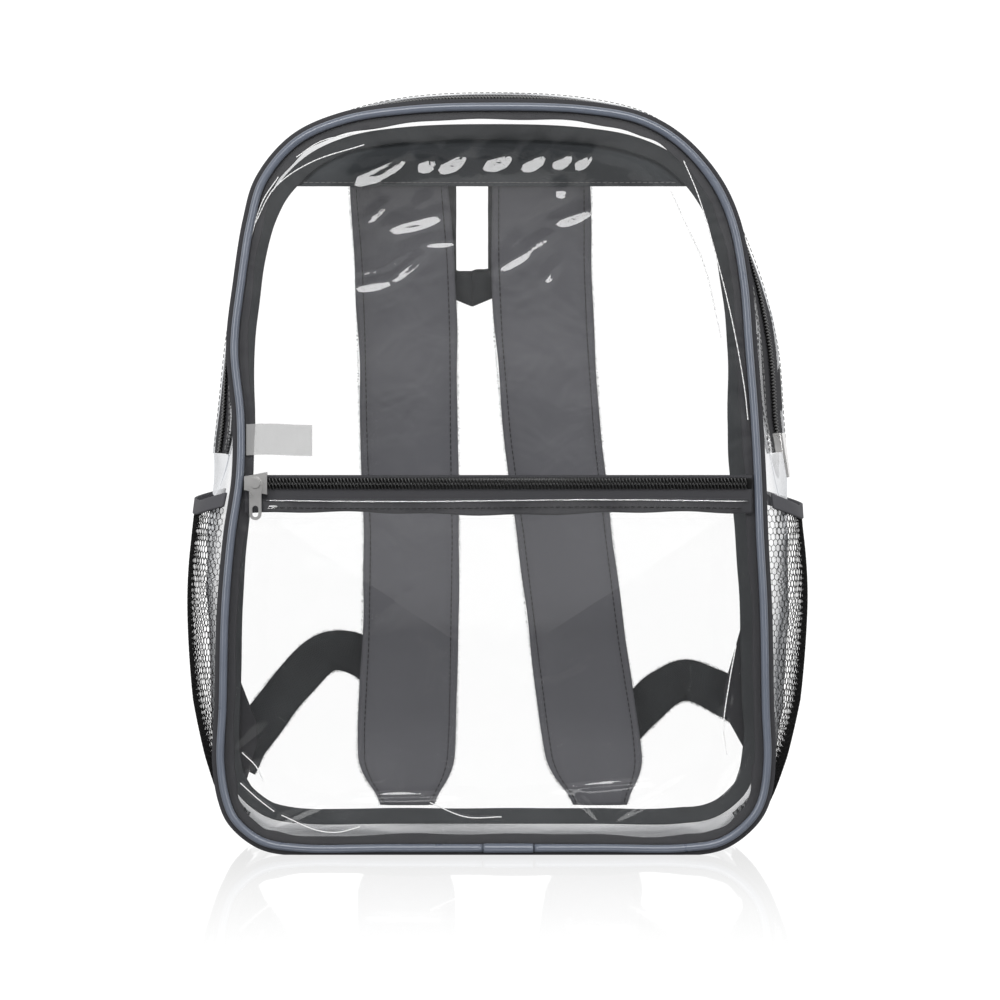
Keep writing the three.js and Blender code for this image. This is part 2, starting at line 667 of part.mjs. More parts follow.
function addPocketZip() {
  const middleHeight = pocketCoilBottom + pocketCoilHeight / 2;
  const leftRim = seamPoint(frontSeam, placeAtHeight('left', middleHeight)).x - panelEdge;
  const rightRim = seamPoint(frontSeam, placeAtHeight('right', middleHeight)).x + panelEdge;
  const tapeLeft = leftRim + gap;
  const tapeRight = rightRim - gap;
  const box = (left, right, low, high) => [[left, low], [right, low], [right, high], [left, high]];
  const tapeOutline = box(tapeLeft, tapeRight, pocketTop - pocketTapeBelow, pocketTop + pocketTapeAbove);
  addPiece('pocket_zip_tape', plate(tapeOutline, [], pocketTapeY, pocketTapeThickness), 'blackTape');
  const sliderLeft = tapeLeft;
  const sliderRight = sliderLeft + pocketSliderLength;
  const coilY = pocketTapeY - gap - pocketCoilDepth;
  const coilSection = roundedSlot(0, middleHeight, pocketCoilDepth, pocketCoilHeight, coilCornerSteps);
  const coilEnds = [sliderRight + gap, tapeRight - gap];
  addPiece('pocket_zip_coil', sweep(coilEnds.map((x) => coilSection.map(
    ([forward, height]) => new THREE.Vector3(x, coilY + pocketCoilDepth / 2 + forward, height)))), 'coil');

  const sliderX = (sliderLeft + sliderRight) / 2;
  const sliderFrontY = pocketTapeY - gap - pocketSliderDepth;
  const wideHalf = pocketSliderHeight / 2;
  const narrowHalf = wideHalf * sliderTaper;
  const sliderBody = plate([
    [sliderLeft, middleHeight - narrowHalf], [sliderRight, middleHeight - wideHalf],
    [sliderRight, middleHeight + wideHalf], [sliderLeft, middleHeight + narrowHalf],
  ], [], sliderFrontY, pocketSliderDepth);
  const postLength = pullThickness + 2 * pullClearance;
  const crown = new THREE.LatheGeometry([
    new THREE.Vector2(0, -crownBuried), new THREE.Vector2(crownPostRadius, -crownBuried),
    new THREE.Vector2(crownPostRadius, postLength), new THREE.Vector2(crownHeadRadius, postLength),
    new THREE.Vector2(crownHeadRadius, postLength + crownHeadThickness),
    new THREE.Vector2(0, postLength + crownHeadThickness),
  ], crownSides);
  crown.rotateX(Math.PI);
  const crownAt = { x: sliderX, z: middleHeight };
  crown.translate(crownAt.x, sliderFrontY, crownAt.z);
  addPiece('pocket_zip_slider', joined([sliderBody, crown]), 'metal');

  const pullTop = crownAt.z + pullWidth / 2;
  const pullMiddle = pullTop - pullLength / 2;
  const holeMiddle = pullTop - pullLength + pullWidth / 2 + pullHoleLength / 2 - pullHoleWidth / 2;
  const pullOutline = roundedSlot(crownAt.x, pullMiddle, pullWidth, pullLength, pullCornerSteps);
  addPiece('pocket_zip_pull', plate(pullOutline, [
    circle(crownAt.x, crownAt.z, pullEyeRadius, crownSides),
    roundedSlot(crownAt.x, holeMiddle, pullHoleWidth, pullHoleLength, holeCornerSteps),
  ], sliderFrontY - pullClearance - pullThickness, pullThickness), 'metal');

  const seamAtTag = seamPoint(frontSeam, placeAtHeight('left', tagBottom + tagHeight / 2)).x;
  const tagLeft = seamAtTag + pipingRadius + 2 * gap;
  addPiece('care_tag', plate(box(tagLeft, tagLeft + tagWidth, tagBottom, tagBottom + tagHeight), [],
    frontPanelY - gap - tagThickness, tagThickness), 'tag');
}

// Outer offset of a side pocket's net at a height and a share of the depth
function netOffset(place, depth) {
  const standOff = seamValue('net', place) * bagDepth * tableValue(netSection, 'depth', 'swell', depth);
  return wallOffset(place, depth) + netLift + standOff;
}

function addSidePocket(side) {
  const depths = netSection.map((row) => row.depth);
  const swell = (depth) => tableValue(netSection, 'depth', 'swell', depth);
  const bandLow = (depth) => bandTop - bandHeight - bandSag * swell(depth);
  const line = (placeAt, offset) => depths.map((depth) => {
    const place = placeAt(depth);
    return wallPoint(place, depth, netOffset(place, depth) + offset);
  });
  const netTop = (depth) => placeAtHeight(side, bandLow(depth) - gap);
  const lowest = placeAtHeight(side, netBottom);
  const stations = side === 'right' ? placesBetween(lowest, netTop(0.5))
    : placesBetween(netTop(0.5), lowest).reverse();
  const netLines = [...stations.slice(0, -1).map((place) => () => place), netTop];
  addPiece(`side_net_${side}`, thickSheet(netLines.map((at) => line(at, netThickness)),
    netLines.map((at) => line(at, 0))), 'net');
  const bandLines = [0, bandHeight].map((rise) => (depth) => placeAtHeight(side, bandLow(depth) + rise));
  addPiece(`pocket_band_${side}`, thickSheet(bandLines.map((at) => line(at, bandThickness)),
    bandLines.map((at) => line(at, 0))), 'elastic');
}

function addYoke() {
  const places = placesBetween(placeAtHeight('right', yokeBottom), placeAtHeight('left', yokeBottom));
  const arch = places.map((place) => besideSeam(place, 1, -yokeInset, 0));
  const corners = arch.map((point) => [point.x, Math.max(point.z, yokeBottom)]);
  corners[0][1] = yokeBottom;
  corners[corners.length - 1][1] = yokeBottom;
  addPiece('yoke', plate(corners, [], yokeY, yokeThickness), 'greyTape');
}

const strapHeight = (share) => seamLift + share * seamHeight;
function strapBowAt(height) {
  return strapBow * tableValue(strapRows, 'height', 'bow', (height - seamLift) / seamHeight);
}

// Padded strap: a flat section with thinned edges, carried down the table's rows.
// strapEdge: the edge's share of the thickness. strapSlope: how wide the thinned edge is, in thicknesses.
const strapEdge = 0.45;
const strapSlope = 0.6;
function addStrap(side) {
  const rows = spread(0, strapRows.length - 1, (strapRows.length - 1) * 2).map((at) => {
    const low = strapRows[Math.floor(at)];
    const high = strapRows[Math.ceil(at)];
    const between = (key) => low[key] + (at - Math.floor(at)) * (high[key] - low[key]);
    return Object.fromEntries(Object.keys(low).map((key) => [key, between(key)]));
  });
  const sections = rows.map((row) => {
    const halfStrap = (strapWidth * row.width) / 2;
    const halfPad = strapThickness / 2;
    const edge = halfPad * strapEdge;
    const inset = strapThickness * strapSlope;
    const centre = new THREE.Vector3(row[side] * halfWidth, strapY + halfPad + row.bow * strapBow,
      strapHeight(row.height));
    const section = [
      [-halfStrap, -edge], [-halfStrap + inset, -halfPad], [halfStrap - inset, -halfPad], [halfStrap, -edge],
      [halfStrap, edge], [halfStrap - inset, halfPad], [-halfStrap + inset, halfPad], [-halfStrap, edge],
    ];
    return section.map(([across, out]) => new THREE.Vector3(centre.x + across, centre.y + out, centre.z));
  });
  addPiece(`shoulder_strap_${side}`, sweep(sections), 'strap');
}

function addLock(side) {
  const share = (lockBottom + lockHeight / 2 - seamLift) / seamHeight;
  const centreX = tableValue(strapRows, 'height', side, share) * halfWidth;
  const centreZ = lockBottom + lockHeight / 2;
  const frame = (left, right, low, high) => [[left, low], [right, low], [right, high], [left, high]];
  const slotHeight = (lockHeight - 3 * lockBar) / 2;
  const slotHalf = lockWidth / 2 - lockBar;
  const slots = [1, -1].map((way) => {
    const middle = centreZ + (way * (slotHeight + lockBar)) / 2;
    return frame(centreX - slotHalf, centreX + slotHalf, middle - slotHeight / 2, middle + slotHeight / 2);
  });
  const halfLock = lockWidth / 2;
  const outline = frame(centreX - halfLock, centreX + halfLock, lockBottom, lockBottom + lockHeight);
  const geometry = plate(outline, slots, lockY + strapBowAt(lockBottom + lockHeight), lockThickness);
  addPiece(`ladder_lock_${side}`, geometry, 'plastic');
}

// Flat webbing along a curve through its rows; its width stays in the plane of the back
const webbingSteps = 24;
function addWebbing(side, rows) {
  const lockBackY = lockY + strapBowAt(lockBottom + lockHeight) + lockThickness;
  const outAt = (row) => (row.onLock ? lockBackY + gap + webbingThickness / 2
    : webbingTabY + row.lift * (webbingStrapY - webbingTabY));
  const points = rows.map((row) => new THREE.Vector3(row.across * halfWidth, outAt(row),
    seamLift + row.height * seamHeight));
  const path = new THREE.CatmullRomCurve3(points, false, 'centripetal');
  const sections = spread(0, 1, webbingSteps).map((share) => {
    const centre = path.getPoint(share);
    const along = path.getTangent(share);
    const across = new THREE.Vector3(-along.z, 0, along.x).normalize();
    const out = new THREE.Vector3().crossVectors(along, across).normalize();
    return [[-1, -1], [1, -1], [1, 1], [-1, 1]].map(([wide, thick]) => {
      const point = centre.clone().addScaledVector(across, (wide * webbingWidth) / 2);
      return point.addScaledVector(out, (thick * webbingThickness) / 2);
    });
  });
  addPiece(`webbing_${side}`, sweep(sections), 'webbing');
}

const tabSteps = 4;
function addTab(side) {
  const row = tabRows[side];
  const way = side === 'right' ? 1 : -1;
  const low = placeAtHeight(side, seamLift + row.low * seamHeight);
  const high = placeAtHeight(side, seamLift + row.high * seamHeight);
  const base = spread(low, high, tabSteps).map((place) => besideSeam(place, 1, -yokeInset, 0));
  const corners = base.map((point) => [point.x, point.z]);
  const tipX = base[tabSteps / 2].x - way * row.tipReach * halfWidth;
  const tipZ = seamLift + row.tipHeight * seamHeight;
  corners.push([tipX, tipZ + webbingWidth / 4]);
  corners.push([tipX, tipZ - webbingWidth / 4]);
  addPiece(`anchor_tab_${side}`, plate(corners, [], tabY, tabThickness), 'blackTape');
}

const haulLegSteps = 3;
function addHaulLoop() {
  const inner = haulGapWidth / 2;
  const outer = inner + haulLegWidth;
  const heights = spread(haulTop, haulWebTop, haulLegSteps);
  const corners = [
    ...heights.map((height) => [haulCentre - outer, height]),
    [haulCentre - outer, haulWebSide],
    [haulCentre, haulTip],
    [haulCentre + outer, haulWebSide],
    ...[...heights].reverse().map((height) => [haulCentre + outer, height]),
    ...heights.map((height) => [haulCentre + inner, height]),
    ...[...heights].reverse().map((height) => [haulCentre - inner, height]),
  ];
  const geometry = plate(corners, [], haulY, haulThickness);
  const position = geometry.attributes.position;
  for (let i = 0; i < position.count; i += 1) {
    position.setY(i, position.getY(i) + strapBowAt(position.getZ(i)));
  }
  addPiece('haul_loop', geometry, 'webbing');
}

addPanels();
addWalls();
addMainZip();
addTrim();
addPocketZip();
['left', 'right'].forEach(addSidePocket);
addYoke();
['left', 'right'].forEach(addStrap);
['left', 'right'].forEach(addLock);
addWebbing('left', webbingRowsLeft);
addWebbing('right', webbingRowsRight);
['left', 'right'].forEach(addTab);
addHaulLoop();

// The overall box is centred on X and Y, and the bag stands on Z = 0
bag.updateMatrixWorld(true);
const overall = new THREE.Box3().setFromObject(bag, true);
const middle = overall.getCenter(new THREE.Vector3());
bag.position.set(-middle.x, -middle.y, -overall.min.z);

export default bag;
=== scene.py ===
"""Clear backpack with a boxed gusset, net side pockets and padded straps, dressed on its fixed frame.

Every shape is a surface worked out on a grid, or a profile carried along a path, in metres in the frame
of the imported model. The seam line and the wall beside it are the surfaces that most pieces follow.
"""

import logging
import math
from dataclasses import dataclass, field
from enum import Enum

import bpy
import numpy as np
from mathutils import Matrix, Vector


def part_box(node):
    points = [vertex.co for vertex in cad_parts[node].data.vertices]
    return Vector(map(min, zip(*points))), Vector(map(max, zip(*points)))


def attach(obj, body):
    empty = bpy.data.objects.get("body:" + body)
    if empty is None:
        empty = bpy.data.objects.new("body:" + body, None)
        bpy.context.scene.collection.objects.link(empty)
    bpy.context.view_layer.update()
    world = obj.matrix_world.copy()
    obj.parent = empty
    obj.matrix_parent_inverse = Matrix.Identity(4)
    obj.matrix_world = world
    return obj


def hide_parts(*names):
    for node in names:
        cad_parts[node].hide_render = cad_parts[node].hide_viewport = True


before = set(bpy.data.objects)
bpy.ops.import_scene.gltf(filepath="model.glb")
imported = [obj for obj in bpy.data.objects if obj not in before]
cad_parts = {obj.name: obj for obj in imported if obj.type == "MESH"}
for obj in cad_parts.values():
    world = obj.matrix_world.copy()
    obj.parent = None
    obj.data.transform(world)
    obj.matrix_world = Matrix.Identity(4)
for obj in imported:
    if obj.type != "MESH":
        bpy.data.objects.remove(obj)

LOG = logging.getLogger("clear_backpack")
MM = 0.001
BAG = "bag"
ZIP_END = 224 * MM
TAPE_SHOWN = 26 * MM
POCKET_TOP = 200 * MM
WHITE = (1.0, 1.0, 1.0, 1.0)


class Side(Enum):
    """Which side of the bag, as seen from the front."""

    LEFT = "left"
    RIGHT = "right"


def corners(node: str) -> tuple[np.ndarray, np.ndarray]:
    """Lowest and highest corner of a CAD node.

    Args:
        node: name of the node.

    Returns:
        Two points in metres.
    """
    low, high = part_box(node)
    return np.array(low), np.array(high)


def between_knots(a: np.ndarray, b: np.ndarray, c: np.ndarray, d: np.ndarray,
                  share: np.ndarray) -> np.ndarray:
    """Centripetal Catmull-Rom curve from b to c: a cubic whose end slopes weigh the neighbouring chords by
    the square roots of their lengths.

    Args:
        a: knots before the stretch.
        b: knots at its start.
        c: knots at its end.
        d: knots after it.
        share: how far along each stretch, from 0 to 1.

    Returns:
        Points, with the knots' columns as the last axis.
    """
    gaps = [np.sqrt(np.linalg.norm(q - p, axis=-1, keepdims=True)) for p, q in ((a, b), (b, c), (c, d))]
    first = ((b - a) / gaps[0] - (c - a) / (gaps[0] + gaps[1]) + (c - b) / gaps[1]) * gaps[1]
    second = ((c - b) / gaps[1] - (d - b) / (gaps[1] + gaps[2]) + (d - c) / gaps[2]) * gaps[1]
    square = -3 * b + 3 * c - 2 * first - second
    cube = 2 * b - 2 * c + first + second
    return b + share * (first + share * (square + share * cube))


def open_curve(knots: np.ndarray, share: np.ndarray) -> np.ndarray:
    """Points along an open curve through knots, with its ends carried straight on."""
    before, after = 2 * knots[0] - knots[1], 2 * knots[-1] - knots[-2]
    padded = np.concatenate([[before], knots, [after]])
    at = np.clip(share, 0, 1) * (len(knots) - 1)
    start = np.minimum(np.floor(at).astype(int), len(knots) - 2)
    return between_knots(*(padded[start + step] for step in range(4)), (at - start)[..., None])


# Seam line

OUTLINE_COLUMNS = ("height", "right", "left", "bulge_right", "bulge_left", "net", "lean")
OUTLINE_ROWS = (
    (0.0, 0.0, 0.0, 0.0157, 0.0157, 0.0, 0.0),
    (0.0, 0.386, 0.386, 0.0157, 0.0157, 0.0, 0.0),
    (0.0, 0.69, 0.716, 0.0157, 0.0157, 0.0, 0.0),
    (0.009, 0.834, 0.855, 0.019, 0.018, 0.0, 0.0),
    (0.037, 0.936, 0.952, 0.022, 0.016, 0.0, 0.0),
    (0.064, 0.979, 0.986, 0.03, 0.014, 0.008, 0.0),
    (0.115, 1.0, 1.008, 0.046, 0.02, 0.035, 0.0),
    (0.19, 0.994, 1.0, 0.079, 0.049, 0.065, 0.0),
    (0.32, 0.987, 0.991, 0.11, 0.075, 0.072, 0.0),
    (0.42, 0.973, 0.968, 0.139, 0.101, 0.056, 0.15),
    (0.5, 0.965, 0.937, 0.16, 0.112, 0.04, 0.6),
    (0.58, 0.953, 0.934, 0.16, 0.098, 0.0, 1.0),
    (0.675, 0.933, 0.957, 0.143, 0.053, 0.0, 1.0),
    (0.765, 0.913, 0.931, 0.1, 0.035, 0.0, 1.0),
    (0.846, 0.87, 0.896, 0.05, 0.027, 0.0, 1.0),
    (0.9, 0.801, 0.852, 0.047, 0.028, 0.0, 1.0),
    (0.953, 0.672, 0.73, 0.055, 0.042, 0.0, 1.0),
    (0.982, 0.5325, 0.555, 0.084, 0.074, 0.0, 1.0),
    (0.996, 0.33, 0.31, 0.1, 0.1, 0.0, 1.0),
    (1.0, 0.0, 0.0, 0.108, 0.108, 0.0, 1.0),
)


@dataclass
class Seam:
    """The closed seam round the bag, front and back, and the side wall that swells between them.

    A place on the seam is a number: 0 at the middle of the bottom, TOP at the middle of the top, up the
    right side first, and COUNT all the way round. Depth is 0 at the front seam and 1 at the back one.
    """

    half_width: float = 152.5 * MM
    height: float = 415 * MM
    depth: float = 140 * MM
    lift: float = 4.2 * MM
    back_spread: float = 1.05
    back_rise: float = 1.015
    back_shift: float = -2.5 * MM
    wall_edge: float = 2.0 * MM
    net_lift: float = 0.35 * MM
    net_margin: float = 0.9
    sleeve_x: float = 7.5 * MM
    top: int = len(OUTLINE_ROWS) - 1
    shift_x: float = field(init=False)
    front_y: float = field(init=False)
    wall_y: tuple[float, float] = field(init=False)

    def __post_init__(self) -> None:
        """Read the places of the frame's pieces and lay out the knots of both seams."""
        piping_low, piping_high = corners("front_piping")
        sleeve_low, sleeve_high = corners("piping_joint")
        wall_low, wall_high = corners("gusset_lower")
        self.front_y = (piping_low[1] + piping_high[1]) / 2
        self.shift_x = (sleeve_low[0] + sleeve_high[0]) / 2 - self.sleeve_x
        self.wall_y = (wall_low[1], wall_high[1])
        rows = np.array(OUTLINE_ROWS)
        up, down = rows, rows[1:-1][::-1]
        column = {name: i for i, name in enumerate(OUTLINE_COLUMNS)}
        right, left = column["right"], column["left"]
        even = (rows[:, right] + rows[:, left]) / 2
        across = np.concatenate([up[:, right], -down[:, left]])
        across_back = np.concatenate([even, -even[1:-1][::-1]])
        rise = np.concatenate([up[:, 0], down[:, 0]]) * self.height + self.lift
        self.front_knots = np.stack([across * self.half_width + self.shift_x, rise], axis=1)
        back_x = across_back * self.half_width * self.back_spread + self.back_shift + self.shift_x
        back_z = self.lift + (rise - self.lift) * self.back_rise
        self.back_knots = np.stack([back_x, back_z], axis=1)
        self.bulge = np.concatenate([up[:, column["bulge_right"]], down[:, column["bulge_left"]]])
        self.net = np.concatenate([up[:, column["net"]], down[:, column["net"]]])
        self.lean = np.concatenate([up[:, column["lean"]], down[:, column["lean"]]])
        self.count = len(self.bulge)
        samples = np.linspace(2, self.top, 1500)
        self.height_table = {
            Side.RIGHT: (self.curve(self.front_knots, samples)[:, 1], samples),
            Side.LEFT: (self.curve(self.front_knots, self.count - samples)[:, 1], self.count - samples),
        }

    def curve(self, knots: np.ndarray, place: np.ndarray) -> np.ndarray:
        """Points of a closed curve through knots, at places of any shape."""
        around = np.mod(place, self.count)
        start = np.floor(around).astype(int)
        four = (knots[(start + step) % self.count] for step in (-1, 0, 1, 2))
        return between_knots(*four, (around - start)[..., None])

    def value(self, column: np.ndarray, place: np.ndarray) -> np.ndarray:
        """Smooth value of a column of shares at places: uniform Catmull-Rom between the rows."""
        around = np.mod(place, self.count)
        start = np.floor(around).astype(int)
        share = around - start
        a, b, c, d = (column[(start + step) % self.count] for step in (-1, 0, 1, 2))
        first, second = (c - a) / 2, (d - b) / 2
        square = -3 * b + 3 * c - 2 * first - second
        cube = 2 * b - 2 * c + first + second
        return np.maximum(b + share * (first + share * (square + share * cube)), 0)

    def outward(self, place: np.ndarray) -> np.ndarray:
        """Unit direction out of the bag at places, at right angles to the front seam."""
        step = 0.05
        along = self.curve(self.front_knots, place + step) - self.curve(self.front_knots, place - step)
        along /= np.linalg.norm(along, axis=-1, keepdims=True)
        return np.stack([along[..., 1], -along[..., 0]], axis=-1)

    def beside(self, place: np.ndarray, depth: np.ndarray, offset: np.ndarray, y: np.ndarray) -> np.ndarray:
        """Points beside the seam: the blend of both seams by depth, moved outwards by offset, at y, and
        never below the floor.

        Args:
            place: places on the seam.
            depth: shares of the depth.
            offset: distances outwards.
            y: where the points are, front to back.

        Returns:
            Points of the broadcast shape, with x, y, z last.
        """
        place, depth, offset, y = np.broadcast_arrays(place, depth, offset, y)
        front = self.curve(self.front_knots, place)
        back = self.curve(self.back_knots, place)
        flat = front + (back - front) * depth[..., None] + self.outward(place) * offset[..., None]
        return np.stack([flat[..., 0], y, np.maximum(flat[..., 1], 0)], axis=-1)

    def swell(self, place: np.ndarray, depth: np.ndarray) -> np.ndarray:
        """Share of the wall's bulge. Low down it is even: one less the fourth power of the distance from mid
        depth. Higher up it leans to the back: it stays low at the front, climbs under the zip and drops."""
        even = 1 - np.abs(2 * depth - 1) ** 4
        climb = np.clip((depth - 0.26) / 0.44, 0, 1)
        start = np.clip(depth / 0.12, 0, 1) * 0.2
        drop = np.clip((depth - 0.7) / 0.3, 0, 1)
        leaning = (start + (1 - start) * climb ** 2 * (3 - 2 * climb)) * (1 - drop ** 2)
        return even + np.clip(self.value(self.lean, place), 0, 1) * (leaning - even)

    def wall_offset(self, place: np.ndarray, depth: np.ndarray) -> np.ndarray:
        """How far the outside of the wall lies outside the seam."""
        return self.wall_edge + self.value(self.bulge, place) * self.depth * self.swell(place, depth)

    def wall(self, place: np.ndarray, depth: np.ndarray, rise: np.ndarray = 0.0) -> np.ndarray:
        """Points on the wall's outside, or at a rise above it."""
        y = self.wall_y[0] + depth * (self.wall_y[1] - self.wall_y[0])
        return self.beside(place, depth, self.wall_offset(place, depth) + rise, y)

    def net_rise(self, place: np.ndarray, depth: np.ndarray) -> np.ndarray:
        """How far a side pocket's net stands off the wall: nothing at its edges, most at mid depth."""
        swell = np.clip(1 - np.abs((2 * depth - 1) / self.net_margin) ** 3, 0, None)
        return self.net_lift + self.value(self.net, place) * self.depth * swell

    def at_height(self, side: Side, height: np.ndarray) -> np.ndarray:
        """Place on one side where the front seam reaches a height."""
        heights, places = self.height_table[side]
        return np.interp(height, heights, places)

    def share_of(self, width: float) -> float:
        """Share of the depth that a width takes up."""
        return width / (self.wall_y[1] - self.wall_y[0])


# Meshes from grids

def linked(name: str, data) -> bpy.types.Object:
    """New object at the origin, linked to the scene."""
    piece = bpy.data.objects.new(name, data)
    bpy.context.scene.collection.objects.link(piece)
    return piece


def object_from(name: str, points: np.ndarray, faces: list, uvs: np.ndarray | None = None,
                flat_faces: int = 0) -> bpy.types.Object:
    """Make a mesh object at the origin.

    Args:
        name: name of the piece.
        points: corner points, in metres.
        faces: corner numbers of each face.
        uvs: each face's corners' places on the flat piece, in metres.
        flat_faces: how many faces at the list's end shade flat.

    Returns:
        The new object, linked to the scene.
    """
    mesh = bpy.data.meshes.new(name)
    mesh.from_pydata(points.reshape(-1, 3).tolist(), [], faces)
    if uvs is not None:
        mesh.uv_layers.new(name="lay").data.foreach_set("uv", uvs.reshape(-1).astype(np.float32))
    smooth = np.arange(len(faces)) < len(faces) - flat_faces
    mesh.polygons.foreach_set("use_smooth", smooth)
    mesh.update()
    return linked(name, mesh)


def grid_faces(rows: int, columns: int, round_rows: bool = False,
               round_columns: bool = False) -> tuple[np.ndarray, np.ndarray]:
    """Faces of a grid of points, and the grid places of their corners.

    Args:
        rows: number of rows of points.
        columns: number of points in a row.
        round_rows: whether the last row joins the first.
        round_columns: whether each row closes on itself.

    Returns:
        Faces as four corner numbers, and for each corner its row and column before wrapping.
    """
    i, j = np.meshgrid(np.arange(rows if round_rows else rows - 1),
                       np.arange(columns if round_columns else columns - 1), indexing="ij")
    steps = ((0, 0), (1, 0), (1, 1), (0, 1))
    places = np.stack([np.stack([i + a, j + b], axis=-1) for a, b in steps], axis=2).reshape(-1, 4, 2)
    faces = (places[..., 0] % rows) * columns + places[..., 1] % columns
    return faces, places


def grid_object(name: str, points: np.ndarray, round_rows: bool = False, round_columns: bool = False,
                capped: bool = False, lay: tuple[np.ndarray, np.ndarray] | None = None,
                flip: bool = False) -> bpy.types.Object:
    """Surface through a grid of points, such as a profile carried along a path.

    Args:
        name: name of the piece.
        points: rows by columns by three.
        round_rows: whether the last row joins the first.
        round_columns: whether each row is a closed profile.
        capped: whether the first and last closed profile are filled in.
        lay: lengths along the rows and along the columns, one more than the points where they close.
        flip: whether the faces turn over.

    Returns:
        The new object.
    """
    rows, columns = points.shape[:2]
    faces, places = grid_faces(rows, columns, round_rows, round_columns)
    uvs = None
    if lay is not None:
        uvs = np.stack([lay[1][places[..., 1]], lay[0][places[..., 0]]], axis=-1)
    if flip:
        faces = faces[:, ::-1]
        uvs = None if uvs is None else uvs[:, ::-1]
    faces = faces.tolist()
    if capped:
        first = list(range(columns))
        last = [(rows - 1) * columns + i for i in first][::-1]
        faces += [first[::-1], last[::-1]] if flip else [first, last]
        if uvs is not None:
            uvs = np.concatenate([uvs.reshape(-1, 2), np.zeros((2 * columns, 2))])
    return object_from(name, points, faces, uvs, 2 if capped else 0)


def lengths_along(points: np.ndarray, closed: bool = False) -> np.ndarray:
    """Running length at each point of a path, with one more at the end where it closes."""
    path = np.concatenate([points, points[:1]]) if closed else points
    steps = np.linalg.norm(np.diff(path, axis=0), axis=-1)
    return np.concatenate([[0], np.cumsum(steps)])


def disc_object(name: str, outline: np.ndarray, rings: int, surface) -> bpy.types.Object:
    """Sheet inside a closed outline: rings that shrink to the middle, each point moved by a surface.

    Args:
        name: name of the piece.
        outline: points of the edge, x and z.
        rings: number of rings.
        surface: function of x, z and the ring's share, which gives y.

    Returns:
        The new object, which faces the front.
    """
    middle = outline.mean(axis=0)
    share = np.linspace(1, 0, rings + 1)[:-1]
    flat = middle + share[:, None, None] * (outline[None] - middle)
    y = surface(flat[..., 0], flat[..., 1], np.broadcast_to(share[:, None], flat.shape[:2]))
    points = np.stack([flat[..., 0], y, flat[..., 1]], axis=-1).reshape(-1, 3)
    middle_y = surface(middle[:1], middle[1:], np.zeros(1))[0]
    points = np.concatenate([points, [[middle[0], middle_y, middle[1]]]])
    sides = len(outline)
    faces = grid_faces(rings, sides, round_columns=True)[0].tolist()
    hub = len(points) - 1
    start = (rings - 1) * sides
    faces += [[start + i, hub, start + (i + 1) % sides] for i in range(sides)]
    faces = [face[::-1] for face in faces]
    return object_from(name, points, faces, points[np.concatenate(faces)][:, [0, 2]])


def thicken(piece: bpy.types.Object, thickness: float, offset: float = 0.0) -> None:
    """Give an open sheet a wall. An offset of 1 grows outwards, -1 inwards."""
    wall = piece.modifiers.new("wall", "SOLIDIFY")
    wall.thickness = thickness
    wall.offset = offset
    wall.use_even_offset = False


# Folds and ripples

def ripples(x: np.ndarray, z: np.ndarray, wavelength: float, seed: int, waves: int = 7) -> np.ndarray:
    """Soft uneven ripples: a sum of plane waves in fixed pseudo-random directions, from -1 to about 1."""
    draw = np.random.default_rng(seed)
    total = np.zeros(np.broadcast(x, z).shape)
    for _ in range(waves):
        angle = draw.uniform(0, np.pi)
        length = wavelength * draw.uniform(0.7, 1.5)
        phase = draw.uniform(0, 2 * np.pi)
        total += np.cos(2 * np.pi * (x * np.cos(angle) + z * np.sin(angle)) / length + phase)
    return total / math.sqrt(2 * waves)


@dataclass(frozen=True)
class Crease:
    """A fold in a clear sheet: from one point to another, so wide, and so high at its middle."""

    start: tuple[float, float]
    end: tuple[float, float]
    width: float
    rise: float

    def height(self, x: np.ndarray, z: np.ndarray) -> np.ndarray:
        """A bell across the fold, which fades towards both of its ends."""
        start, end = np.array(self.start) * MM, np.array(self.end) * MM
        along = end - start
        length = float(np.hypot(*along))
        along = along / length
        place = (x - start[0]) * along[0] + (z - start[1]) * along[1]
        side = -(x - start[0]) * along[1] + (z - start[1]) * along[0]
        share = np.clip(place / length, 0, 1)
        past = place - share * length
        bell = np.exp(-((side / (self.width * MM)) ** 2) - (past / (self.width * MM)) ** 2)
        return self.rise * MM * bell * np.sin(np.pi * (0.08 + 0.84 * share))


def dents(creases: tuple[Crease, ...], x: np.ndarray, z: np.ndarray) -> np.ndarray:
    """Height of all of a sheet's creases together."""
    return sum((crease.height(x, z) for crease in creases), np.zeros(x.shape))


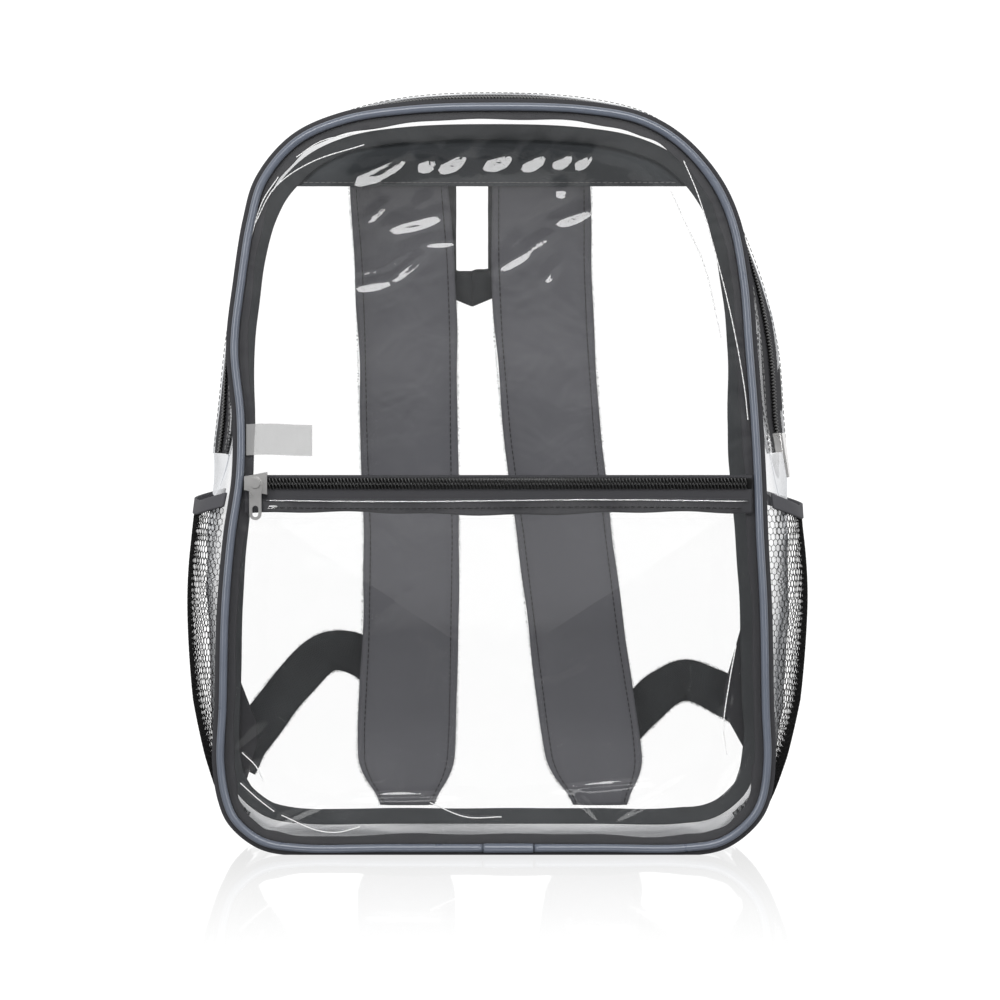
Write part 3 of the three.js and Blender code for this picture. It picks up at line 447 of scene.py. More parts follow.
def bars(name: str, start: np.ndarray, end: np.ndarray, out: np.ndarray, half_width: float,
         half_height: float, sides: int = 6,
         shape: tuple = ((0.0, 0.45), (0.2, 1.0), (0.8, 1.0), (1.0, 0.45)),
         capped: bool = True) -> bpy.types.Object:
    """Many short bars in one mesh, such as stitches, zip teeth or the strands of a net.

    Args:
        name: name of the piece.
        start: first end of each bar.
        end: other end of each bar.
        out: direction that each bar's height points in.
        half_width: half the width of a bar.
        half_height: half its height.
        sides: corners of its section.
        shape: shares of the length, and the section's scale there.
        capped: whether the ends are closed.

    Returns:
        The new object.
    """
    along = end - start
    unit = along / np.linalg.norm(along, axis=-1, keepdims=True)
    side = np.cross(unit, out)
    side /= np.linalg.norm(side, axis=-1, keepdims=True)
    up = np.cross(side, unit)
    angle = np.linspace(0, 2 * np.pi, sides, endpoint=False)
    ring = (np.cos(angle)[:, None] * half_width * side[:, None, :]
            + np.sin(angle)[:, None] * half_height * up[:, None, :])
    shares = np.array([step[0] for step in shape])
    scales = np.array([step[1] for step in shape])
    middle = start[:, None] + shares[:, None] * along[:, None]
    points = middle[:, :, None] + scales[:, None, None] * ring[:, None]
    rows = len(shape)
    faces = grid_faces(rows, sides, round_columns=True)[0][:, ::-1]
    first = np.arange(len(start))[:, None, None] * rows * sides
    every = (first + faces).reshape(-1, 4).tolist()
    if capped:
        ends = np.stack([np.arange(sides), (rows - 1) * sides + np.arange(sides)[::-1]])
        every += (first + ends).reshape(-1, sides).tolist()
    return object_from(name, points, every)


def along_path(at: np.ndarray, running: np.ndarray, columns: np.ndarray) -> np.ndarray:
    """Points or directions of a path at running lengths."""
    return np.stack([np.interp(at, running, column) for column in columns.T], axis=-1)


def to_front(count: int) -> np.ndarray:
    """As many directions straight towards the front."""
    return np.broadcast_to([0.0, -1.0, 0.0], (count, 3))


def stitch_row(name: str, path: np.ndarray, out: np.ndarray, length: float = 2.6 * MM, gap: float = 0.9 * MM,
               radius: float = 0.28 * MM) -> bpy.types.Object:
    """Row of stitches along a path, each a short thread that dips into the cloth at its ends."""
    running = lengths_along(path)
    count = int((running[-1] - gap) / (length + gap))
    from_at = gap + np.arange(count) * (length + gap)
    ends = [along_path(at, running, path) for at in (from_at, from_at + length)]
    return bars(name, *ends, along_path(from_at, running, out), radius, radius)


FIBRE = 0.06 * MM


def fuzz(name: str, path: np.ndarray, outward: np.ndarray, count: int, seed: int,
         length: float = 1.1 * MM) -> bpy.types.Object:
    """Loose fibres along the edge of a cloth, each leaning its own way.

    Args:
        name: name of the piece.
        path: the edge.
        outward: direction away from the cloth at each of its points.
        count: number of fibres.
        seed: of the pseudo-random draw.
        length: mean length of a fibre.

    Returns:
        The new object.
    """
    draw = np.random.default_rng(seed)
    running = lengths_along(path)
    at = draw.uniform(0, running[-1], count)
    root = along_path(at, running, path)
    away = along_path(at, running, outward)
    lean = away + draw.normal(0, 0.55, (count, 3))
    reach = length * draw.uniform(0.35, 1.5, count)[:, None]
    root += draw.normal(0, 0.5 * MM, (count, 3)) * np.array([0.4, 2.0, 0.4])
    tip = root + lean / np.linalg.norm(lean, axis=-1, keepdims=True) * reach
    out = np.broadcast_to([0.02, -1.0, 0.01], root.shape)
    fibres = bars(name, root, tip, out, FIBRE, FIBRE, sides=3, shape=((0.0, 1.0), (1.0, 0.5)), capped=False)
    fibres.data.uv_layers.new(name="lay")
    return fibres


# Finishes

class Tree:
    """Adds shader nodes and links to one node tree."""

    def __init__(self, tree: bpy.types.NodeTree) -> None:
        """Keep the tree and empty it."""
        self.tree = tree
        tree.nodes.clear()

    def add(self, kind: str, inputs: dict | None = None, **settings) -> bpy.types.Node:
        """Add a node, set it up and feed its inputs.

        Args:
            kind: node type, without its ShaderNode prefix.
            inputs: sockets or plain values, by input name or number.
            settings: properties of the node.

        Returns:
            The new node.
        """
        prefix = "" if kind.startswith("NodeGroup") else "ShaderNode"
        node = self.tree.nodes.new(prefix + kind)
        for key, value in settings.items():
            setattr(node, key, value)
        for key, value in (inputs or {}).items():
            if isinstance(value, bpy.types.NodeSocket):
                self.tree.links.new(value, node.inputs[key])
            else:
                node.inputs[key].default_value = value
        return node

    def math(self, operation: str, *values) -> bpy.types.NodeSocket:
        """Result of a math node on sockets or numbers."""
        node = self.add("Math", dict(enumerate(values)), operation=operation)
        return node.outputs[0]

    def ramp(self, value, start: float, end: float, low, high) -> bpy.types.NodeSocket:
        """Straight rise from low to high as a value goes from start to end."""
        node = self.add("MapRange", {0: value, 1: start, 2: end, 3: low, 4: high}, clamp=True)
        return node.outputs[0]

    def blend(self, share, first, second) -> bpy.types.NodeSocket:
        """Colour between two colours, by a share from 0 to 1."""
        node = self.add("Mix", {0: share, 6: first, 7: second}, data_type="RGBA")
        return node.outputs[2]


def group(name: str, inputs: dict[str, str], outputs: dict[str, str], build) -> bpy.types.NodeTree:
    """Shared shader node group, made once.

    Args:
        name: name of the group.
        inputs: socket types by name.
        outputs: socket types by name.
        build: function of the tree and the group's input sockets, which gives its output sockets.

    Returns:
        The node group.
    """
    found = bpy.data.node_groups.get(name)
    if found:
        return found
    tree = bpy.data.node_groups.new(name, "ShaderNodeTree")
    for key, kind in inputs.items():
        tree.interface.new_socket(name=key, in_out="INPUT", socket_type="NodeSocket" + kind)
    for key, kind in outputs.items():
        tree.interface.new_socket(name=key, in_out="OUTPUT", socket_type="NodeSocket" + kind)
    nodes = Tree(tree)
    entry = tree.nodes.new("NodeGroupInput")
    results = build(nodes, entry.outputs)
    leave = tree.nodes.new("NodeGroupOutput")
    for key, socket in results.items():
        tree.links.new(socket, leave.inputs[key])
    return tree


def build_woven(nodes: Tree, given) -> dict:
    """Plain weave: threads over and under, as the product of a sine along and a sine across, with lint."""
    flat = nodes.add("SeparateXYZ", {0: given["Vector"]})
    turns = [nodes.math("DIVIDE", flat.outputs[i], given[key]) for i, key in enumerate(("Across", "Along"))]
    waves = [nodes.math("SINE", nodes.math("MULTIPLY", turn, 2 * math.pi)) for turn in turns]
    weave = nodes.math("MULTIPLY_ADD", nodes.math("MULTIPLY", *waves), 0.5, 0.5)
    place = nodes.add("TexCoord").outputs["Object"]
    lint = nodes.add("TexNoise", {"Vector": place, "Scale": 900.0, "Detail": 4.0, "Roughness": 0.7})
    cloud = nodes.add("TexNoise", {"Vector": place, "Scale": 45.0, "Detail": 3.0})
    rough = nodes.math("MULTIPLY", lint.outputs[0], given["Lint"])
    height = nodes.math("ADD", weave, rough)
    mask = nodes.math("MULTIPLY_ADD", weave, 0.45, nodes.math("MULTIPLY", cloud.outputs[0], 0.35))
    mask = nodes.math("ADD", mask, nodes.math("MULTIPLY", lint.outputs[0], 0.2))
    normal = nodes.add("Bump", {"Strength": given["Bump"], "Distance": given["Relief"], "Height": height})
    return {"Mask": mask, "Normal": normal.outputs[0]}


def build_speckle(nodes: Tree, given) -> dict:
    """Fine uneven grain of moulded or cast surfaces, with a broad cloud of rub marks."""
    place = nodes.add("TexCoord").outputs["Object"]
    grain = nodes.add("TexNoise", {"Vector": place, "Scale": given["Scale"], "Detail": 5.0})
    rub = nodes.add("TexNoise", {"Vector": place, "Scale": 60.0, "Detail": 3.0, "Distortion": 0.4})
    normal = nodes.add("Bump", {"Strength": given["Bump"], "Distance": 0.0002, "Height": grain.outputs[0]})
    return {"Mask": rub.outputs[0], "Normal": normal.outputs[0]}


def woven_group() -> bpy.types.NodeTree:
    """The weave that all cloths share."""
    given = {"Vector": "Vector", "Across": "Float", "Along": "Float", "Lint": "Float", "Bump": "Float",
             "Relief": "Float"}
    return group("woven", given, {"Mask": "Float", "Normal": "Vector"}, build_woven)


def speckle_group() -> bpy.types.NodeTree:
    """The grain that moulded and cast pieces share."""
    return group("speckle", {"Scale": "Float", "Bump": "Float"}, {"Mask": "Float", "Normal": "Vector"},
                 build_speckle)


def new_material(name: str) -> tuple[bpy.types.Material, Tree]:
    """Empty node material and its tree."""
    material = bpy.data.materials.new(name)
    material.use_nodes = True
    return material, Tree(material.node_tree)


def grey(value: float, warmth: float = 0.0) -> tuple[float, float, float, float]:
    """A grey with a little warmth, or with blue in it where warmth is below nought."""
    return (value * (1 + warmth), value, value * (1 - warmth), 1.0)


def add_weave(nodes: Tree, across: float, along: float, lint: float, bump: float,
              relief: float) -> bpy.types.Node:
    """The shared weave, laid by the piece's own flat map."""
    given = {"Vector": nodes.add("UVMap", uv_map="lay").outputs[0], "Across": across, "Along": along,
             "Lint": lint, "Bump": bump, "Relief": relief}
    return nodes.add("Group", given, node_tree=woven_group())


class Finish:
    """A finish whose material is made once and then found by its name."""

    name: str

    def shader(self, nodes: Tree) -> bpy.types.Node:
        """Last shader of the material, which each kind of finish builds in its own way."""
        raise NotImplementedError

    def material(self) -> bpy.types.Material:
        """The finish's material, made on first use."""
        found = bpy.data.materials.get(self.name)
        if found:
            return found
        material, nodes = new_material(self.name)
        nodes.add("OutputMaterial", {0: self.shader(nodes).outputs[0]})
        return material


@dataclass(frozen=True)
class Cloth(Finish):
    """Woven, knitted or spun finish. Pitches are in metres across and along the flat piece."""

    name: str
    dark: tuple
    light: tuple
    across: float
    along: float
    bump: float = 0.6
    relief: float = 0.25 * MM
    lint: float = 0.4
    rough: float = 0.85

    def shader(self, nodes: Tree) -> bpy.types.Node:
        """Principled cloth coloured by the shared weave."""
        weave = add_weave(nodes, self.across, self.along, self.lint, self.bump, self.relief)
        colour = nodes.blend(weave.outputs["Mask"], self.dark, self.light)
        return nodes.add("BsdfPrincipled", {"Base Color": colour, "Roughness": self.rough,
                                            "Specular IOR Level": 0.08, "Normal": weave.outputs["Normal"]})


@dataclass(frozen=True)
class Moulded(Finish):
    """Moulded, extruded or cast finish."""

    name: str
    dark: tuple
    light: tuple
    rough: float
    metallic: float = 0.0
    scale: float = 700.0
    bump: float = 0.25
    coat: float = 0.0

    def shader(self, nodes: Tree) -> bpy.types.Node:
        """Principled surface with the shared grain and rub marks."""
        grain = nodes.add("Group", {"Scale": self.scale, "Bump": self.bump}, node_tree=speckle_group())
        colour = nodes.blend(grain.outputs["Mask"], self.dark, self.light)
        rough = nodes.math("MULTIPLY_ADD", grain.outputs["Mask"], self.rough * 0.5, self.rough * 0.7)
        return nodes.add("BsdfPrincipled", {"Base Color": colour, "Roughness": rough,
                                            "Metallic": self.metallic, "Coat Weight": self.coat,
                                            "Coat Roughness": 0.12, "Normal": grain.outputs["Normal"]})


@dataclass(frozen=True)
class ClearVinyl(Finish):
    """Clear soft sheet: untinted where it faces the eye, greyer edge-on, with a clean gloss."""

    name: str = "clear_vinyl"
    reflect: float = 0.06
    edge: tuple = (0.42, 0.43, 0.45, 1.0)
    edge_gloss: tuple = (0.8, 0.81, 0.83, 1.0)
    rough: float = 0.03
    ripple: float = 0.3

    def shader(self, nodes: Tree) -> bpy.types.Node:
        """Transparent and glossy, shared out by the angle: a base reflection that rises with the fifth
        power of one less the cosine."""
        place = nodes.add("TexCoord").outputs["Object"]
        broad = nodes.add("TexNoise", {"Vector": place, "Scale": 28.0, "Detail": 2.0, "Distortion": 0.8})
        normal = nodes.add("Bump", {"Strength": self.ripple, "Distance": 0.002, "Height": broad.outputs[0]})
        facing = nodes.add("LayerWeight", {"Blend": 0.5, "Normal": normal.outputs[0]}).outputs["Facing"]
        rise = nodes.math("POWER", facing, 5.0)
        share = nodes.math("MULTIPLY_ADD", rise, 1 - self.reflect, self.reflect)
        tint = nodes.blend(nodes.math("POWER", facing, 3.0), WHITE, self.edge)
        clear = nodes.add("BsdfTransparent", {0: tint})
        gloss = nodes.add("BsdfAnisotropic", {"Color": nodes.blend(facing, WHITE, self.edge_gloss),
                                              "Roughness": self.rough, "Normal": normal.outputs[0]})
        return nodes.add("MixShader", {0: share, 1: clear.outputs[0], 2: gloss.outputs[0]})


@dataclass(frozen=True)
class TagCloth(Finish):
    """Thin white satin label, bare, that lets some light through."""

    name: str = "tag_cloth"
    clear: float = 0.25
    glow: float = 0.35
    pitch: float = 0.9 * MM

    def shader(self, nodes: Tree) -> bpy.types.Node:
        """Translucent weave with a little transparency."""
        weave = add_weave(nodes, self.pitch, self.pitch, 0.2, 0.3, 0.1 * MM)
        colour = nodes.blend(weave.outputs["Mask"], grey(0.36), grey(0.5))
        cloth = nodes.add("BsdfPrincipled", {"Base Color": colour, "Roughness": 0.6,
                                             "Normal": weave.outputs["Normal"]})
        glow = nodes.add("BsdfTranslucent", {"Color": colour})
        thin = nodes.add("MixShader", {0: self.glow, 1: cloth.outputs[0], 2: glow.outputs[0]})
        clear = nodes.add("BsdfTransparent")
        return nodes.add("MixShader", {0: self.clear, 1: thin.outputs[0], 2: clear.outputs[0]})


PIPING = Moulded("piping_vinyl", (0.09, 0.105, 0.135, 1), (0.115, 0.13, 0.165, 1), 0.32, coat=0.4, bump=0.1)
BLACK_TAPE = Cloth("black_tape", grey(0.003), grey(0.02, -0.04), 0.9 * MM, 0.9 * MM, bump=0.8)
SEAM_TAPE = Cloth("seam_tape", grey(0.03, -0.03), grey(0.1, -0.06), 0.9 * MM, 0.9 * MM, bump=0.8)
YOKE_CLOTH = Cloth("yoke_cloth", grey(0.045, -0.05), grey(0.12, -0.1), 1.0 * MM, 1.0 * MM, bump=0.6, lint=0.7)
STRAP_CLOTH = Cloth("strap_cloth", grey(0.026, -0.07), grey(0.085, -0.1), 0.8 * MM, 0.8 * MM, bump=0.7,
                    lint=1.2)
WEBBING = Cloth("webbing_weave", grey(0.02, -0.03), grey(0.07, -0.06), 2.2 * MM, 1.1 * MM, bump=0.9, lint=1.0)
ELASTIC = Cloth("elastic", grey(0.004), grey(0.02), 40 * MM, 1.3 * MM, bump=0.9, relief=0.35 * MM)
NET_YARN = Cloth("net_yarn", grey(0.004), grey(0.014), 0.5 * MM, 0.5 * MM, bump=0.3)
THREAD = Cloth("black_thread", grey(0.01), grey(0.05), 0.4 * MM, 0.4 * MM, bump=0.3)
PALE_THREAD = Cloth("pale_thread", grey(0.16), grey(0.35), 0.4 * MM, 0.4 * MM, bump=0.3)
LINT = Cloth("lint_fibre", grey(0.04, -0.04), grey(0.09, -0.06), 0.4 * MM, 0.4 * MM, bump=0.0)
COIL = Moulded("nylon_coil", grey(0.004), grey(0.014), 0.3, bump=0.15)
NICKEL = Moulded("nickel", grey(0.6, 0.01), grey(0.8, 0.01), 0.3, metallic=1.0, scale=400.0, bump=0.1)
PLASTIC = Moulded("moulded_plastic", grey(0.012), grey(0.025), 0.4, bump=0.35)
VINYL = ClearVinyl()
HEM = ClearVinyl("clear_hem", reflect=0.3, rough=0.12, ripple=0.2)
# Pale opaque ridges along the clear sheets' folds: painted highlights for the light that the fold edges catch
PAINTED_FOLD_HIGHLIGHT = Moulded("painted_fold_highlight", grey(0.7), grey(0.85), 0.3, bump=0.1)
TAG = TagCloth()


# Pieces

def place(piece: bpy.types.Object, finish: Finish, slot_name: str, *nodes: str) -> None:
    """Give a piece of the bag its finish, attach it to the bag, and hide the CAD nodes that it stands for."""
    piece.data.materials.clear()
    piece.data.materials.append(finish.material())
    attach(piece, BAG)
    if nodes:
        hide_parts(*nodes)


def area_of(piece: bpy.types.Object) -> float:
    """Area of a piece's mesh before its modifiers."""
    areas = np.empty(len(piece.data.polygons))
    piece.data.polygons.foreach_get("area", areas)
    return float(areas.sum())


def sewn_in(piece: bpy.types.Object, flat: tuple[float, float]) -> None:
    """Work out the smaller of a sheet's surface area and the area of its flat cut; nothing is done with the
    result.
    """
    min(area_of(piece), flat[0] * flat[1])


@dataclass
class ClearShell:
    """The six clear sheets of the shell."""

    seam: Seam
    front_edge: float = -2.9 * MM
    back_edge: float = -0.3 * MM
    pocket_slack: float = 7 * MM
    pocket_flat: tuple[float, float] = (310 * MM, 202 * MM)
    fold_half: float = 0.32 * MM
    around: int = 600
    rings: int = 110
    plain_around: int = 360
    plain_rings: int = 40

    def panel(self, name: str, node: str, depth: float, edge: float, seed: int,
              creases: tuple[Crease, ...]) -> None:
        """Flat sheet inside one seam, with slight ripples and its creases."""
        around, rings = (self.around, self.rings) if creases else (self.plain_around, self.plain_rings)
        places = np.linspace(0, self.seam.count, around, endpoint=False)
        outline = self.seam.beside(places, depth, edge, 0)[:, [0, 2]]
        low, high = corners(node)
        middle_y = (low[1] + high[1]) / 2

        def surface(x: np.ndarray, z: np.ndarray, share: np.ndarray) -> np.ndarray:
            """Ripples and creases, which die out at the seam."""
            waves = 0.5 * MM * ripples(x, z, 110 * MM, seed)
            return middle_y + (1 - share ** 8) * (waves + dents(creases, x, z))

        sheet = disc_object(name, outline, rings, surface)
        place(sheet, VINYL, "clear_pvc", node)
        sewn_in(sheet, (2.02 * self.seam.half_width, 1.0 * self.seam.height))

    def pocket(self, creases: tuple[Crease, ...]) -> None:
        """Front pocket sheet: bulges a little and is free along its top edge."""
        seam = self.seam
        right = seam.at_height(Side.RIGHT, POCKET_TOP)
        left = seam.at_height(Side.LEFT, POCKET_TOP) - seam.count
        low = seam.beside(np.linspace(left, right, 400), 0, self.front_edge, 0)[:, [0, 2]]
        top = low[-1] + np.linspace(0, 1, 202)[1:-1, None] * (low[0] - low[-1])
        outline = np.concatenate([low, top])
        base = corners("front_pocket")[1][1] - 0.5 * MM

        def surface(x: np.ndarray, z: np.ndarray, share: np.ndarray) -> np.ndarray:
            """A crown that is highest in the middle, with ripples and creases on it."""
            crown = self.pocket_slack * (1 - share ** 2) ** 2
            waves = 0.7 * MM * ripples(x, z, 90 * MM, 5)
            return base - crown - (1 - share ** 8) * (np.abs(waves) + dents(creases, x, z))

        sheet = disc_object("pocket_sheet", outline, self.rings, surface)
        place(sheet, VINYL, "clear_pvc", "front_pocket")
        sewn_in(sheet, self.pocket_flat)

    def strip(self, name: str, node: str, places: np.ndarray, depths: np.ndarray, seed: int,
              ripple: float) -> None:
        """Strip of the side wall, with ripples across it."""
        seam = self.seam
        along = places[:, None] * 22 * MM
        down = depths[None, :] * seam.depth
        hold = np.sin(np.pi * np.clip(depths, 0, 1)) ** 0.5
        rise = -ripple * hold * np.abs(ripples(along, down * 0.35, 55 * MM, seed))
        points = seam.wall(places[:, None], depths[None, :], rise)
        lay = (lengths_along(points[:, len(depths) // 2]), lengths_along(points[len(places) // 2]))
        sheet = grid_object(name, points, lay=lay, flip=True)
        place(sheet, VINYL, "clear_pvc", node)
        sewn_in(sheet, (float(lay[1][-1]) * 1.03, float(lay[0][-1]) * 1.03))

    def folds(self, name: str, node: str, lines: tuple, forward: float) -> None:
        """Sharp folds of a sheet, as thin pale ridges on its front: a painted highlight that stands in for
        the light caught by the folds' edges.

        Args:
            name: name of the piece.
            node: CAD node of the sheet.
            lines: one row of points in millimetres for each fold.
            forward: how far in front of the node's middle they lie.
        """
        low, high = corners(node)
        y = (low[1] + high[1]) / 2 - forward
        starts, ends = [], []
        for line in lines:
            knots = np.array([(x * MM, y, z * MM) for x, z in line])
            path = open_curve(knots, np.linspace(0, 1, 8 * len(line)))
            starts.append(path[:-1])
            ends.append(path[1:])
        start, end = np.concatenate(starts), np.concatenate(ends)
        ridge = bars(name, start, end, to_front(len(start)), self.fold_half, 0.3 * MM,
                     shape=((-0.02, 0.9), (0.5, 1.0), (1.02, 0.9)))
        place(ridge, PAINTED_FOLD_HIGHLIGHT, "clear_pvc")

    def build(self) -> None:
        """Make all six sheets."""
        seam = self.seam
        self.folds("front_folds", "front_panel", FRONT_FOLDS, 0.6 * MM)
        self.folds("pocket_folds", "front_pocket", POCKET_FOLDS, -1.0 * MM)
        self.panel("front_sheet", "front_panel", 0, self.front_edge, 3, FRONT_CREASES)
        self.panel("back_sheet", "back_panel", 1, self.back_edge, 11, ())
        self.pocket(POCKET_CREASES)
        right = seam.at_height(Side.RIGHT, ZIP_END)
        left = seam.at_height(Side.LEFT, ZIP_END)
        edge = 0.5 - seam.share_of(TAPE_SHOWN) / 2
        self.strip("side_sheet", "gusset_lower", np.linspace(left - seam.count, right, 420),
                   np.linspace(0, 1, 40), 21, 2.2 * MM)
        upper = np.linspace(right, left, 420)
        front = np.linspace(0, edge, 20)
        self.strip("top_sheet_front", "gusset_top_front", upper, front, 33, 1.6 * MM)
        self.strip("top_sheet_back", "gusset_top_back", upper, 1 - front[::-1], 34, 1.6 * MM)


# Dents and folds of the front sheet: over the yoke, over both straps, and at the upper right corner
FRONT_CREASES = (
    Crease((-79, 380), (-51, 394), 4.6, 3.6),
    Crease((-43, 385), (-35, 396), 3.8, 3.2),
    Crease((-31, 385), (-18, 397), 3.8, 3.2),
    Crease((-6, 388), (8, 396), 4.4, 3.4),
    Crease((15, 386), (28, 397), 3.4, 3.0),
    Crease((32, 387), (43, 397), 3.2, 2.8),
    Crease((45, 387), (53, 396), 3.0, 2.6),
    Crease((-61, 352), (-31, 360), 3.8, 2.0),
    Crease((-80, 326), (-62, 330), 2.6, 1.5),
    Crease((-62, 330), (-43, 343), 2.6, 1.6),
    Crease((-43, 343), (-22, 345), 2.2, 1.2),
    Crease((-80, 319), (-59, 323), 3.0, 1.6),
    Crease((-59, 323), (-40, 339), 3.0, 1.6),
    Crease((-73, 355), (-61, 367), 2.2, 1.2),
    Crease((-45, 361), (-38, 370), 3.0, 1.6),
    Crease((32, 355), (54, 363), 3.2, 1.8),
    Crease((2, 332), (34, 350), 2.0, 1.2),
    Crease((5, 336), (13, 348), 2.0, 1.1),
    Crease((0, 328), (20, 339), 2.2, 1.3),
    Crease((27, 321), (34, 333), 2.4, 1.4),
    Crease((35, 369), (37, 377), 2.8, 1.6),
    Crease((84, 366), (118, 330), 3.0, 1.8),
)

# Dents and folds of the pocket sheet: along its left side, at both lower corners, below the zip
POCKET_CREASES = (
    Crease((-150, 52), (-130, 71), 3.6, 2.4),
    Crease((-142, 40), (-132, 52), 2.4, 1.6),
    Crease((-143, 36), (-122, 22), 2.4, 1.8),
    Crease((-138, 12), (-96, 30), 2.6, 1.8),
    Crease((-143, 70), (-141, 180), 2.8, 1.6),
    Crease((-80, 33), (-22, 34), 2.0, 1.4),
    Crease((32, 37), (88, 42), 2.0, 1.4),
    Crease((62, 18), (105, 43), 2.2, 1.6),
    Crease((43, 37), (61, 17), 2.2, 1.5),
    Crease((118, 24), (146, 66), 2.8, 2.0),
    Crease((132, 100), (126, 66), 2.4, 1.6),
    Crease((-131, 193), (-119, 194), 3.0, 1.8),
)

# Sharp folds, drawn as pale ridges that paint the highlights along their edges: from the upper right corner
# down, over the upper left corner, at the bottom
FRONT_FOLDS = (
    ((105, 389), (113, 370), (122, 340), (132, 300), (139, 262), (141, 244)),
    ((98, 372), (107, 352), (116, 332), (126, 290)),
    ((-112, 391), (-98, 400), (-80, 404)),
    ((-136, 352), (-124, 374), (-104, 388), (-74, 398)),
    ((-139, 340), (-131, 366), (-122, 380)),
)
POCKET_FOLDS = (
    ((-142, 58), (-134, 50), (-130, 42)),
    ((-143, 41), (-133, 32), (-124, 25)),
    ((-120, 23), (-100, 14.5), (-88, 13.5), (-76, 16.5)),
    ((-37, 30), (-17, 22), (3, 22)),
    ((134, 118), (130, 96), (127, 72), (129, 56)),
)


@dataclass
class SeamTrim:
    """Piping round the front seam, its sleeve, and the tapes that bind both seams."""

    seam: Seam
    radius: float = 2.25 * MM
    tape: float = 1.2 * MM
    stations: int = 760

    def piping(self) -> None:
        """Round cord from one end of the sleeve to the other."""
        seam = self.seam
        sleeve_low, sleeve_high = corners("piping_joint")
        step = seam.front_knots[1, 0] - seam.front_knots[0, 0]
        start = (sleeve_high[0] - seam.shift_x) / step + 0.005
        end = (sleeve_low[0] - seam.shift_x) / step - 0.005 + seam.count
        places = np.linspace(start, end, self.stations)[:, None]
        angle = np.linspace(0, 2 * np.pi, 14, endpoint=False)[None]
        points = seam.beside(places, 0, self.radius * np.cos(angle),
                             seam.front_y + self.radius * np.sin(angle))
        lay = (lengths_along(points[:, 0]), lengths_along(points[0], closed=True))
        cord = grid_object("piping_cord", points, round_columns=True, capped=True, lay=lay, flip=True)
        place(cord, PIPING, "piping", "front_piping")

    def sleeve(self) -> None:
        """Short sleeve over the piping's ends, pinched in at both of its rims."""
        low, high = corners("piping_joint")
        centre = (low + high) / 2
        radius = (high[2] - low[2]) / 2
        x = np.concatenate([[0, 0.4, 1.2], np.linspace(3, 25, 14), [26.8, 27.6, 28]]) / 28
        swell = np.concatenate([[0.86, 0.96, 1.0], np.ones(14), [1.0, 0.96, 0.86]])
        angle = np.linspace(0, 2 * np.pi, 20, endpoint=False)
        across = low[0] + x * (high[0] - low[0])
        ring = radius * swell[:, None]
        points = np.stack([np.broadcast_to(across[:, None], (20, 20)), centre[1] + ring * np.sin(angle),
                           centre[2] + ring * np.cos(angle)], axis=-1)
        cover = grid_object("piping_sleeve", points, round_columns=True, capped=True, flip=True)
        place(cover, PIPING, "piping", "piping_joint")

    def binding(self, name: str, node: str, depth: float, inside: float, outside: float, waver: float,
                finish: Cloth, slot_name: str, seed: int) -> None:
        """Flat tape beside a seam, with rounded edges and an inner edge that wavers."""
        seam = self.seam
        low, high = corners(node)
        places = np.linspace(0, seam.count, self.stations, endpoint=False)[:, None]
        draw = np.random.default_rng(seed)
        turns = places / seam.count
        waves = sum(np.sin(2 * np.pi * (k * turns + draw.uniform())) for k in (7, 13, 23, 41)) / 4
        share = np.array([0.0, 0.06, 0.3, 0.7, 0.94, 1.0, 1.0, 0.94, 0.7, 0.3, 0.06, 0.0])[None]
        thick = np.array([0.3, 0.08, 0.0, 0.0, 0.08, 0.3, 0.7, 0.92, 1.0, 1.0, 0.92, 0.7])[None]
        inner = inside + waver * (waves - 1)
        offset = -inner + share * (inner + outside)
        points = seam.beside(places, depth, offset, low[1] + thick * (high[1] - low[1]))
        lay = (lengths_along(points[:, 0], closed=True), lengths_along(points[0], closed=True))
        ring = grid_object(name, points, round_rows=True, round_columns=True, lay=lay)
        place(ring, finish, slot_name, node)

    def build(self) -> None:
        """Make the trim of both seams."""
        self.piping()
        self.sleeve()
        self.binding("front_seam_tape", "front_binding", 0, 8.4 * MM, 5.0 * MM, 1.3 * MM, BLACK_TAPE,
                     "black_tape", 2)
        self.binding("back_seam_tape", "back_binding", 1, 8.0 * MM, 2.0 * MM, 0.4 * MM, SEAM_TAPE,
                     "grey_tape", 4)


